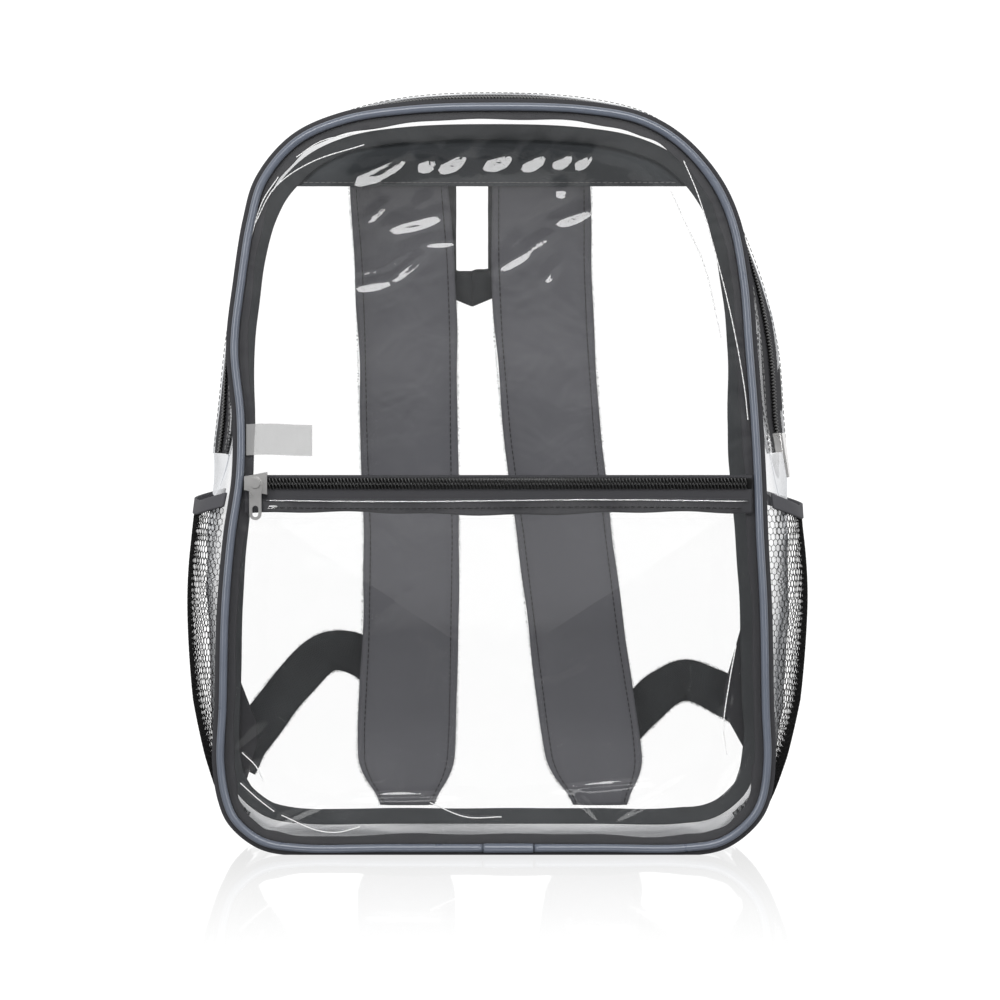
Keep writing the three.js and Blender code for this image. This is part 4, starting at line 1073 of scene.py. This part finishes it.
@dataclass
class MainZip:
    """Zip over the top: woven tape under the clear strips, and two rows of coil teeth."""

    seam: Seam
    tape_width: float = 45 * MM
    tape_rise: float = -1.3 * MM
    pitch: float = 1.9 * MM
    coil_half: float = 3.0 * MM
    slider_length: float = 11.6 * MM

    def at_lengths(self, depth: float, rise: float, start: float, end: float, step: float) -> np.ndarray:
        """Places evenly spaced by length along the wall at one depth."""
        places = np.linspace(start, end, 1600)
        running = lengths_along(self.seam.wall(places, depth, rise))
        return np.interp(np.arange(0, running[-1], step), running, places)

    def normals(self, places: np.ndarray) -> np.ndarray:
        """Outward directions at places, with no part along the depth."""
        flat = self.seam.outward(places)
        return np.stack([flat[..., 0], np.zeros(flat.shape[:-1]), flat[..., 1]], axis=-1)

    def build(self) -> None:
        """Make the tape, the teeth and the stitched edges; the slider is the frame's own."""
        seam = self.seam
        right = seam.at_height(Side.RIGHT, ZIP_END) + 0.01
        left = seam.at_height(Side.LEFT, ZIP_END) - 0.01
        half = seam.share_of(self.tape_width) / 2
        places = np.linspace(right, left, 520)[:, None]
        depths = np.linspace(0.5 - half, 0.5 + half, 18)[None]
        points = seam.wall(places, depths, self.tape_rise)
        lay = (lengths_along(points[:, 9]), lengths_along(points[0]))
        tape = grid_object("main_tape", points, lay=lay, flip=True)
        thicken(tape, 1.0 * MM, -1.0)
        place(tape, BLACK_TAPE, "black_tape", "main_zip_tape")

        start = seam.at_height(Side.RIGHT, ZIP_END + self.slider_length)
        stations = self.at_lengths(0.5, 0.0, start, left, self.pitch)
        reach = seam.share_of(self.coil_half)
        rise = -0.2 * MM
        for name, way, shift in (("main_teeth_front", -1, 0.0), ("main_teeth_back", 1, 0.5)):
            at = stations[:-1] + shift * np.diff(stations)
            outer = seam.wall(at, 0.5 + way * reach, rise)
            inner = seam.wall(at + 0.02, 0.5 - way * reach * 0.25, rise)
            teeth = bars(name, outer, inner, self.normals(at), 0.6 * MM, 0.95 * MM)
            place(teeth, COIL, "zip_coil", *(("main_zip_coil",) if way < 0 else ()))

        edge = seam.share_of(TAPE_SHOWN / 2 + 1.6 * MM)
        for name, way in (("main_stitches_front", -1), ("main_stitches_back", 1)):
            path_places = np.linspace(right, left, 1200)
            path = seam.wall(path_places, 0.5 + way * edge, 0.25 * MM)
            row = stitch_row(name, path, self.normals(path_places), radius=0.3 * MM)
            place(row, PALE_THREAD, "black_tape")


@dataclass
class PocketZip:
    """Zip across the front: tape, coil teeth, stitched edge, slider and hanging pull."""

    tape_bulge: float = 0.1 * MM
    pitch: float = 1.9 * MM
    slant: float = 1.25 * MM
    hem_radius: float = 0.55 * MM
    hem_points: int = 60

    def tape(self) -> None:
        """Flat woven tape, with a lower edge that wavers a little."""
        low, high = corners("pocket_zip_tape")
        x = np.linspace(low[0], high[0], 220)[:, None]
        share = np.linspace(0, 1, 14)[None]
        waver = 0.9 * MM * np.sin((x - low[0]) * 2 * np.pi / 0.19) + 0.4 * MM * np.sin(x * 2 * np.pi / 0.047)
        bottom = low[2] + 1.0 * MM + waver
        z = bottom + share * (high[2] - bottom)
        y = np.broadcast_to(low[1] + self.tape_bulge, z.shape)
        points = np.stack([np.broadcast_to(x, z.shape), y, z], axis=-1)
        lay = (lengths_along(points[:, 0]), lengths_along(points[0]))
        tape = grid_object("pocket_tape", points, lay=lay)
        thicken(tape, 0.7 * MM, -1.0)
        place(tape, BLACK_TAPE, "black_tape", "pocket_zip_tape")

    def coil(self) -> None:
        """Two rows of slanting teeth that mesh, on a cord behind them."""
        low, high = corners("pocket_zip_coil")
        middle = (low + high) / 2
        half = (high[2] - low[2]) / 2
        count = int((high[0] - low[0] - self.slant) / self.pitch)
        x = low[0] + self.pitch * np.arange(count) + 0.4 * MM
        out = to_front(count)
        for name, way, shift in (("pocket_teeth_top", 1, 0.0), ("pocket_teeth_bottom", -1, 0.5 * self.pitch)):
            start = np.stack([x + shift, np.full(count, middle[1]),
                              np.full(count, middle[2] + way * half * 0.92)], axis=1)
            end = start + np.array([way * self.slant, -0.25 * MM, -way * half * 1.15])
            teeth = bars(name, start, end, out, 0.55 * MM, 0.85 * MM, sides=8)
            place(teeth, COIL, "zip_coil", *(("pocket_zip_coil",) if way > 0 else ()))
        ends = np.array([[low[0], high[1] - 0.4 * MM, middle[2]], [high[0], high[1] - 0.4 * MM, middle[2]]])
        cord = bars("pocket_coil_cord", ends[:1], ends[1:], out[:1], half * 0.8, 0.35 * MM, sides=12,
                    shape=((0.0, 1.0), (1.0, 1.0)))
        place(cord, COIL, "zip_coil")

    def trims(self) -> None:
        """Hem of the pocket sheet, and the stitches that hold the tape above and below it."""
        low, high = corners("pocket_zip_tape")
        count = self.hem_points
        x = np.linspace(low[0] + 12 * MM, high[0] - 3 * MM, count)
        y = corners("front_pocket")[1][1] - 1.1 * MM
        hem_z = POCKET_TOP - 1.4 * MM + 0.5 * MM * np.sin(x * 2 * np.pi / 0.23)
        hem = np.stack([x, np.full(count, y), hem_z], axis=-1)
        angle = np.linspace(0, 2 * np.pi, 10, endpoint=False)
        section = np.stack([np.zeros(10), np.cos(angle), np.sin(angle) * 0.8], axis=-1)
        ring = hem[:, None] + self.hem_radius * section[None]
        lip = grid_object("pocket_hem", ring, round_columns=True, capped=True)
        place(lip, HEM, "clear_pvc")
        for name, drop in (("pocket_stitches", 4.0 * MM), ("pocket_stitches_top", -11.2 * MM)):
            path = hem + np.array([0, -0.05 * MM, -drop])
            if drop < 0:
                path[:, 1] = low[1] - 0.1 * MM
            row = stitch_row(name, path, to_front(count), radius=0.3 * MM)
            place(row, THREAD, "black_tape")

    def build(self) -> None:
        """Make the zip; both sliders and the pull are the frame's own, with their edges eased."""
        self.tape()
        self.coil()
        self.trims()
        for node in ("pocket_zip_slider", "pocket_zip_pull", "main_zip_slider"):
            keep_node(node, NICKEL, 0.25 * MM)


def keep_node(node: str, finish: Moulded, ease: float) -> None:
    """Give a CAD node a finish and eased edges."""
    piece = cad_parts[node]
    piece.data.materials.clear()
    piece.data.materials.append(finish.material())
    edges = piece.modifiers.new("ease", "BEVEL")
    edges.width = ease
    edges.segments = 3
    edges.limit_method = "ANGLE"
    edges.angle_limit = math.radians(35)
    edges.harden_normals = True


@dataclass
class SidePocket:
    """Net pocket on one side wall, with a ribbed elastic rim that sags between the seams."""

    seam: Seam
    side: Side
    bottom: float = 13 * MM
    band_top: float = 202 * MM
    band_height: float = 8 * MM
    sag: float = 8 * MM
    cell: float = 4.0 * MM
    strand: float = 0.3 * MM
    edge: float = 0.05

    def band_low(self, depth: np.ndarray) -> np.ndarray:
        """Height of the rim's lower edge at shares of the depth."""
        swell = np.clip(1 - np.abs((2 * depth - 1) / 0.9) ** 3, 0, None)
        return self.band_top - self.band_height - self.sag * swell

    def surface(self, place_at: np.ndarray, depth: np.ndarray, rise: float) -> np.ndarray:
        """Points on the net, or at a rise above it."""
        return self.seam.wall(place_at, depth, self.seam.net_rise(place_at, depth) + rise)

    def net(self) -> None:
        """Honeycomb of strands, laid out flat and then bent onto the pocket."""
        seam = self.seam
        name = self.side.value
        lowest = seam.at_height(self.side, self.bottom)
        highest = seam.at_height(self.side, self.band_top)
        places = np.linspace(lowest, highest, 400)
        running = lengths_along(self.surface(places, np.full(400, 0.5), 0.0))
        tall, wide = running[-1], 1.25 * seam.depth
        side = self.cell / math.sqrt(3)
        rows = np.arange(int(tall / (1.5 * side)) + 1)
        columns = np.arange(int(wide / self.cell) + 1)
        i, j = np.meshgrid(rows, columns, indexing="ij")
        at = np.stack([self.cell * (j + (i % 2) / 2), 1.5 * side * i], axis=-1).reshape(-1, 2)
        steps = np.array([[0, side], [self.cell / 2, -side / 2], [-self.cell / 2, -side / 2]])
        start = np.repeat(at, 3, axis=0)
        end = start + np.tile(steps, (len(at), 1))
        inside = (np.minimum(start[:, 0], end[:, 0]) > 0) & (np.maximum(start[:, 0], end[:, 0]) < wide)
        start, end = start[inside], end[inside]

        def bend(flat: np.ndarray, rise: float) -> np.ndarray:
            """Flat places carried onto the pocket, pulled about a little and stopped under the rim."""
            pull = 0.45 * MM * ripples(flat[:, 0], flat[:, 1], 22 * MM, 8)
            depth = self.edge + (1 - 2 * self.edge) * np.clip((flat[:, 0] + pull) / wide, 0, 1)
            up = np.clip(flat[:, 1] + pull, 0, None)
            top = np.interp(seam.at_height(self.side, self.band_low(depth)), *sorted_pair(places, running))
            return self.surface(np.interp(np.minimum(up, top + 0.8 * MM), running, places), depth, rise)

        ends = [bend(flat, 0.5 * MM) for flat in (start, end)]
        outer = bend((start + end) / 2, 1.5 * MM) - bend((start + end) / 2, 0.5 * MM)
        long = np.linalg.norm(ends[1] - ends[0], axis=-1) > 0.4 * MM
        net = bars(f"net_{name}", ends[0][long], ends[1][long], outer[long], self.strand, self.strand * 0.7,
                   sides=4, shape=((-0.06, 1.25), (0.5, 0.8), (1.06, 1.25)), capped=False)
        net.data.uv_layers.new(name="lay")
        place(net, NET_YARN, "net", f"side_net_{name}")

    def rim(self) -> None:
        """Elastic rim with ribs along it."""
        seam = self.seam
        name = self.side.value
        depth = np.linspace(self.edge, 1 - self.edge, 90)[:, None]
        share = np.linspace(0, 1, 9)[None]
        height = self.band_low(depth) + share * self.band_height
        at = seam.at_height(self.side, height)
        ribs = 0.25 * MM * np.sin(share * 4 * 2 * np.pi)
        points = self.surface(at, np.broadcast_to(depth, at.shape), 1.6 * MM + ribs)
        lay = (lengths_along(points[:, 4]), lengths_along(points[0]))
        band = grid_object(f"pocket_rim_{name}", points, lay=lay, flip=self.side is Side.LEFT)
        thicken(band, 1.4 * MM, -1.0)
        place(band, ELASTIC, "elastic", f"pocket_band_{name}")
        sewn_in(band, (float(lay[0][-1]), 10.1 * MM))

    def build(self) -> None:
        """Make the net and its rim."""
        self.net()
        self.rim()


def sorted_pair(keys: np.ndarray, values: np.ndarray) -> tuple[np.ndarray, np.ndarray]:
    """Keys and values in the keys' rising order, as np.interp needs them."""
    order = np.argsort(keys)
    return keys[order], values[order]


STRAP_COLUMNS = ("height", "left", "right", "bow", "width")
STRAP_ROWS = np.array((
    (0.962, -0.387, 0.184, 0.0, 0.97),
    (0.925, -0.387, 0.184, 0.0, 1.0),
    (0.82, -0.363, 0.184, 0.12, 1.0),
    (0.713, -0.354, 0.197, 0.38, 1.0),
    (0.563, -0.351, 0.23, 0.82, 0.99),
    (0.412, -0.341, 0.282, 1.0, 0.97),
    (0.255, -0.347, 0.334, 0.85, 0.97),
    (0.134, -0.357, 0.38, 0.48, 1.0),
    (0.072, -0.361, 0.4, 0.3, 0.97),
    (0.043, -0.354, 0.413, 0.22, 0.7),
    (0.02, -0.354, 0.423, 0.19, 0.5),
))


def strap_value(column: str, height: np.ndarray) -> np.ndarray:
    """Value of a strap column at shares of the seam's height."""
    rows = STRAP_ROWS[::-1]
    return np.interp(height, rows[:, 0], rows[:, STRAP_COLUMNS.index(column)])


@dataclass
class BackParts:
    """What is sewn to the back: yoke, straps, hand loop, adjusters, webbing and tabs."""

    seam: Seam
    strap_width: float = 62 * MM
    strap_thick: float = 8 * MM
    bow: float = 27 * MM
    webbing_width: float = 25 * MM
    webbing_thick: float = 1.6 * MM
    strap_fibres: int = 2800
    webbing_fibres: int = 1500
    yoke_low: float = 390 * MM
    inset: float = 1.5 * MM

    def strap_base(self) -> float:
        """Plane that the straps' inner faces start from."""
        return float(corners("shoulder_strap_left")[0][1])

    def yoke(self) -> None:
        """Woven band that fills the top of the back seam, stitched along its edges."""
        seam = self.seam
        low, high = corners("yoke")
        right, left = (seam.at_height(side, self.yoke_low) for side in (Side.RIGHT, Side.LEFT))
        places = np.linspace(right, left, 160)
        arch = seam.beside(places, 1, -self.inset, 0)[::-1]
        x = np.linspace(low[0], high[0], 150)[:, None]
        top = np.maximum(np.interp(x, arch[:, 0], arch[:, 2]), self.yoke_low + 0.3 * MM)
        share = np.linspace(0, 1, 22)[None]
        z = self.yoke_low + share * (top - self.yoke_low)
        y = low[1] + 0.5 * MM + 0.25 * MM * ripples(x, z, 30 * MM, 17)
        points = np.stack([np.broadcast_to(x, z.shape), y, z], axis=-1)
        lay = (lengths_along(points[:, 0]), lengths_along(points[75]))
        band = grid_object("yoke_band", points, lay=lay)
        thicken(band, 1.1 * MM, -1.0)
        place(band, YOKE_CLOTH, "grey_tape", "yoke")
        sewn_in(band, (float(high[0] - low[0]), float(high[2] - low[2])))
        hem_z = self.yoke_low + 2.2 * MM
        rows = {"low": np.full(150, hem_z), "top": np.maximum(top[:, 0] - 2.4 * MM, hem_z)}
        for edge, path_z in rows.items():
            path = np.stack([x[:, 0], np.full(150, low[1] + 0.1 * MM), path_z], axis=-1)[4:-4]
            row = stitch_row(f"yoke_stitches_{edge}", path, to_front(len(path)))
            place(row, PALE_THREAD, "grey_tape")

    def strap(self, side: Side) -> None:
        """Padded strap: crowned between its stitched edges, with slight dents where it bends."""
        seam = self.seam
        name = side.value
        height = np.linspace(STRAP_ROWS[0, 0], STRAP_ROWS[-1, 0], 150)
        smooth = np.ones(7) / 7

        def eased(column: str) -> np.ndarray:
            """A column's values down the strap, with its corners rounded off."""
            values = strap_value(column, height)
            return np.convolve(np.pad(values, 3, mode="edge"), smooth, mode="valid")

        centre_x = eased(name) * seam.half_width + seam.shift_x
        half = eased("width")[:, None] * self.strap_width / 2
        z = seam.lift + height * seam.height
        middle = self.strap_base() + self.strap_thick / 2 + eased("bow") * self.bow
        angle = np.linspace(0, 2 * np.pi, 44, endpoint=False)[None]
        across = np.sign(np.cos(angle)) * np.abs(np.cos(angle)) ** 0.55
        crown = np.sign(np.sin(angle)) * np.abs(np.sin(angle)) ** 0.7
        groove = 1 - 0.35 * np.exp(-((np.abs(across) - 0.84) / 0.05) ** 2)
        seed = 5 if side is Side.LEFT else 9
        sunk = 1 + 0.12 * ripples(across * self.strap_width / 2, z[:, None], 38 * MM, seed)
        thick = self.strap_thick / 2 * crown * groove * np.clip(sunk, 0.75, 1.0)
        waver = 0.5 * MM * ripples(np.sign(across), z[:, None], 60 * MM, 14)
        x = centre_x[:, None] + across * (half + waver - 0.5 * MM)
        points = np.stack([x, middle[:, None] + thick, np.broadcast_to(z[:, None], x.shape)], axis=-1)
        lay = (lengths_along(points[:, 11]), lengths_along(points[70], closed=True))
        pad = grid_object(f"padded_strap_{name}", points, round_columns=True, capped=True, lay=lay)
        place(pad, STRAP_CLOTH, "strap_cloth", f"shoulder_strap_{name}")
        for edge, way in (("inner", -1), ("outer", 1)):
            path = np.stack([centre_x + way * 0.84 * half[:, 0],
                             middle - 0.36 * self.strap_thick, z], axis=-1)
            row = stitch_row(f"strap_stitches_{edge}_{name}", path, to_front(len(path)))
            place(row, THREAD, "strap_cloth")
            rim = np.stack([centre_x + way * (half[:, 0] - 0.6 * MM), middle, z], axis=-1)
            outward = np.broadcast_to([way, 0.0, 0.0], rim.shape)
            fibres = fuzz(f"strap_lint_{edge}_{name}", rim, outward, self.strap_fibres, way + 5)
            place(fibres, LINT, "strap_cloth")

    def hand_loop(self) -> None:
        """Webbing loop: two legs from the yoke, and a web between them that is folded to a point."""
        centre = -14.3 * MM + self.seam.shift_x
        inner, outer = 9.75 * MM, 34.75 * MM
        tip, side_z, web, top = 318 * MM, 332 * MM, 339.5 * MM, 402 * MM
        z = np.concatenate([np.linspace(tip, side_z, 12), np.linspace(side_z, web, 8)[1:],
                            [web + 0.05 * MM], np.linspace(web, top, 30)[1:]])
        share = np.linspace(0, 1, 14)[None]
        reach = np.interp(z, [tip, side_z], [0.6 * MM, outer])[:, None]
        start = np.where(z > web, inner, 0.0)[:, None]
        across = start + share * (reach - start)
        height = (z - self.seam.lift) / self.seam.height
        front = self.strap_base() + self.strap_thick + 0.3 * MM + strap_value("bow", height) * self.bow
        for name, way in (("left", -1), ("right", 1)):
            y = front[:, None] + 0.3 * MM * (1 + ripples(way * across, z[:, None], 18 * MM, 31))
            points = np.stack([centre + way * across, y, np.broadcast_to(z[:, None], across.shape)], axis=-1)
            lay = (lengths_along(points[:, -1]), lengths_along(points[-1]))
            leg = grid_object(f"hand_loop_{name}", points, lay=lay, flip=way > 0)
            thicken(leg, 1.7 * MM, -1.0)
            place(leg, WEBBING, "webbing", *(("haul_loop",) if way < 0 else ()))

    def webbing(self, side: Side, rows: np.ndarray) -> None:
        """Adjusting webbing from the ladder lock to the tab; its width stays in the plane of the back.

        Args:
            side: which side.
            rows: across and height as shares, lift, and 1 where the row lies on the ladder lock.
        """
        seam = self.seam
        name = side.value
        half_thick = self.webbing_thick / 2
        lock_y = corners(f"ladder_lock_{name}")[1][1] + 0.3 * MM + half_thick
        tab_y = corners(f"anchor_tab_{name}")[1][1] + 0.3 * MM + half_thick
        far_y = self.strap_base() + self.strap_thick + self.bow + 4.6 * MM + half_thick
        out = np.where(rows[:, 3] > 0, lock_y, tab_y + rows[:, 2] * (far_y - tab_y))
        knots = np.stack([rows[:, 0] * seam.half_width + seam.shift_x, out,
                          seam.lift + rows[:, 1] * seam.height], axis=1)
        share = np.linspace(0, 1, 130)
        path = open_curve(knots, share)
        along = np.gradient(path, axis=0)
        along /= np.linalg.norm(along, axis=-1, keepdims=True)
        across = np.stack([-along[:, 2], np.zeros(130), along[:, 0]], axis=-1)
        across /= np.linalg.norm(across, axis=-1, keepdims=True)
        normal = np.cross(along, across)
        under = np.array([(-1, -0.5), (-0.96, -1), (-0.5, -0.9), (0, -0.95),
                          (0.5, -0.9), (0.96, -1), (1, -0.5)])
        profile = np.concatenate([under, -under])
        wide = self.webbing_width / 2 * (1 + 0.02 * np.sin(share * 40))[:, None, None]
        points = (path[:, None] + across[:, None] * profile[None, :, :1] * wide
                  + normal[:, None] * profile[None, :, 1:] * half_thick)
        lay = (lengths_along(path), lengths_along(points[0], closed=True))
        band = grid_object(f"strap_webbing_{name}", points, round_columns=True, capped=True, lay=lay)
        place(band, WEBBING, "webbing", f"webbing_{name}")
        for edge, way in (("low", -1), ("high", 1)):
            rim = path + across * way * (self.webbing_width / 2 - 0.2 * MM)
            fibres = fuzz(f"webbing_lint_{edge}_{name}", rim[12:], way * across[12:], self.webbing_fibres,
                          way + 8)
            place(fibres, LINT, "webbing")

    def tab(self, side: Side, low: float, high: float, tip: float, reach: float) -> None:
        """Triangular tab on the back seam: from its two heights to a tip, as shares of the seam's size."""
        seam = self.seam
        name = side.value
        way = 1 if side is Side.RIGHT else -1
        heights = seam.lift + np.linspace(low, high, 24) * seam.height
        base = seam.beside(seam.at_height(side, heights), 1, -self.inset, 0)
        tip_x = base[12, 0] - way * reach * seam.half_width
        tip_z = seam.lift + tip * seam.height + np.linspace(-1, 1, 24) * self.webbing_width / 4
        ends = np.stack([np.full(24, tip_x), np.zeros(24), tip_z], axis=-1)
        share = np.linspace(0, 1, 14)[:, None, None]
        points = base[None] + share * (ends - base)[None]
        points[..., 1] = corners(f"anchor_tab_{name}")[0][1] + 0.2 * MM
        lay = (lengths_along(points[:, 12]), lengths_along(points[0]))
        cloth = grid_object(f"seam_tab_{name}", points, lay=lay, flip=side is Side.RIGHT)
        thicken(cloth, 1.6 * MM, -1.0)
        place(cloth, BLACK_TAPE, "black_tape", f"anchor_tab_{name}")

    def build(self) -> None:
        """Make everything on the back."""
        self.yoke()
        for side in Side:
            self.strap(side)
            keep_node(f"ladder_lock_{side.value}", PLASTIC, 0.8 * MM)
        self.hand_loop()
        self.webbing(Side.LEFT, WEBBING_LEFT)
        self.webbing(Side.RIGHT, WEBBING_RIGHT)
        self.tab(Side.LEFT, 0.04, 0.232, 0.125, 0.11)
        self.tab(Side.RIGHT, 0.085, 0.32, 0.175, 0.11)


# Rows: across, height, lift, on the ladder lock
WEBBING_LEFT = np.array((
    (-0.356, 0.033, 0.0, 1),
    (-0.358, 0.062, 0.0, 1),
    (-0.364, 0.11, 0.6, 0),
    (-0.385, 0.15, 0.7, 0),
    (-0.446, 0.202, 0.83, 0),
    (-0.564, 0.238, 0.88, 0),
    (-0.682, 0.243, 0.66, 0),
    (-0.813, 0.199, 0.34, 0),
    (-0.918, 0.149, 0.09, 0),
    (-0.99, 0.112, 0.0, 0),
    (-1.035, 0.08, 0.0, 0),
))
WEBBING_RIGHT = np.array((
    (0.411, 0.033, 0.0, 1),
    (0.42, 0.062, 0.0, 1),
    (0.452, 0.1, 0.58, 0),
    (0.508, 0.127, 0.66, 0),
    (0.59, 0.156, 0.72, 0),
    (0.678, 0.187, 0.66, 0),
    (0.767, 0.202, 0.48, 0),
    (0.862, 0.192, 0.25, 0),
    (0.944, 0.176, 0.05, 0),
    (0.984, 0.168, 0.0, 0),
))


@dataclass
class CareTag:
    """Small white satin tag, bare, that curls away a little at its free end."""

    curl: float = 0.5 * MM

    def build(self) -> None:
        """Make the tag as one curved sheet."""
        low, high = corners("care_tag")
        u = np.linspace(0, 1, 40)[:, None]
        v = np.linspace(0, 1, 16)[None]
        x = np.broadcast_to(low[0] + u * (high[0] - low[0]), (40, 16))
        z = low[2] + v * (high[2] - low[2]) + 0.4 * MM * np.sin(u * 5)
        y = high[1] - 0.15 * MM - self.curl * np.sin(u * math.pi * 1.5) ** 2 * (0.4 + 0.6 * v)
        points = np.stack([x, y, z], axis=-1)
        lay = (lengths_along(points[:, 0]), lengths_along(points[0]))
        tag = grid_object("care_label", points, lay=lay)
        place(tag, TAG, "white_tag", "care_tag")


# Studio

@dataclass
class Studio:
    """Camera, white backdrop in a dim room, softboxes and the polished white floor."""

    seam: Seam
    beside_middle: float = 2.8 * MM
    height: float = 0.199
    distance: float = 1.6
    lens: float = 102.9
    glare: float = 1.15
    dim: float = 0.05
    backdrop_share: float = 0.6
    floor_diffuse: float = 0.45
    floor_gloss: float = 0.07
    ceiling: float = 0.5
    floor_half: float = 30.0

    @property
    def target(self) -> np.ndarray:
        """Point of the front seam's plane that the camera faces."""
        return np.array([self.seam.shift_x + self.beside_middle, self.seam.front_y, self.height])

    def camera(self) -> None:
        """Camera straight in front, level with the middle of the picture."""
        data = bpy.data.cameras.new("camera")
        data.lens = self.lens
        data.sensor_width = 36
        camera = linked("camera", data)
        camera.location = (self.target[0], self.target[1] - self.distance, self.target[2])
        camera.rotation_euler = (math.radians(90), 0, 0)
        bpy.context.scene.camera = camera

    def surround(self) -> None:
        """White behind the bag, brighter than paper white. Behind the camera it is dim below, paler above."""
        world = bpy.data.worlds.new("white_backdrop")
        world.use_nodes = True
        nodes = Tree(world.node_tree)
        towards = nodes.add("SeparateXYZ", {0: nodes.add("TexCoord").outputs["Generated"]}).outputs
        behind = nodes.ramp(towards[2], 0.0, 0.12, self.dim, self.ceiling)
        bright = nodes.ramp(towards[1], -0.35, 0.25, behind, self.glare)
        soft = nodes.add("LightPath").outputs["Is Diffuse Ray"]
        share = nodes.math("MULTIPLY_ADD", soft, self.backdrop_share - 1, 1.0)
        strength = nodes.math("MULTIPLY", bright, share)
        glow = nodes.add("Background", {"Color": WHITE, "Strength": strength})
        nodes.add("OutputWorld", {0: glow.outputs[0]})
        bpy.context.scene.world = world
        bpy.context.scene.view_settings.view_transform = "Standard"

    def light(self, name: str, location: tuple, size: tuple[float, float], power: float) -> None:
        """Rectangular light that faces the middle of the bag."""
        data = bpy.data.lights.new(name, "AREA")
        data.shape = "RECTANGLE"
        data.size, data.size_y = size
        data.energy = power
        lamp = linked(name, data)
        lamp.location = location
        aim = self.target + np.array([0, 0.06, 0.02]) - np.array(location)
        across = math.atan2(aim[0], -aim[1])
        down = math.atan2(math.hypot(aim[0], aim[1]), -aim[2])
        lamp.rotation_euler = (down, 0, across + math.pi)

    def floor(self) -> None:
        """White glossy floor whose mirror image fades towards the camera."""
        square = np.array([(-1, -1, 0), (1, -1, 0), (1, 1, 0), (-1, 1, 0)]) * self.floor_half
        floor = object_from("floor", square, [[0, 1, 2, 3]])
        material, nodes = new_material("polished_floor")
        place_at = nodes.add("SeparateXYZ", {0: nodes.add("TexCoord").outputs["Object"]})
        fade = nodes.ramp(place_at.outputs[1], -0.62, -0.09, 0.02, 0.3)
        path = nodes.add("LightPath").outputs
        seen = nodes.math("MULTIPLY", path["Is Camera Ray"], self.glare - self.floor_gloss)
        soft = nodes.math("MULTIPLY", path["Is Diffuse Ray"], self.floor_diffuse - self.floor_gloss)
        strength = nodes.math("ADD", nodes.math("ADD", seen, soft), self.floor_gloss)
        glow = nodes.add("Emission", {"Color": WHITE, "Strength": strength})
        gloss = nodes.add("BsdfAnisotropic", {"Color": WHITE, "Roughness": 0.04})
        both = nodes.add("MixShader", {0: fade, 1: glow.outputs[0], 2: gloss.outputs[0]})
        nodes.add("OutputMaterial", {0: both.outputs[0]})
        floor.data.materials.append(material)

    def build(self) -> None:
        """Set up the whole studio."""
        self.camera()
        self.surround()
        self.floor()
        self.light("softbox_top", (0.0, -1.55, 1.15), (1.3, 0.6), 21.0)
        self.light("softbox_left", (-1.1, -1.25, 0.5), (0.35, 0.9), 9.0)
        self.light("softbox_right", (1.1, -1.3, 0.5), (0.35, 0.9), 7.0)


def build_bag(seam: Seam) -> None:
    """Make every piece of the bag."""
    ClearShell(seam).build()
    SeamTrim(seam).build()
    MainZip(seam).build()
    PocketZip().build()
    for side in Side:
        SidePocket(seam, side).build()
    BackParts(seam).build()
    CareTag().build()


def main() -> None:
    """Build the studio and the bag."""
    logging.basicConfig(level=logging.INFO)
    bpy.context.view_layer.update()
    seam = Seam()
    Studio(seam).build()
    build_bag(seam)
    bpy.context.scene.cycles.transparent_max_bounces = 32


if __name__ == "__main__":
    main()
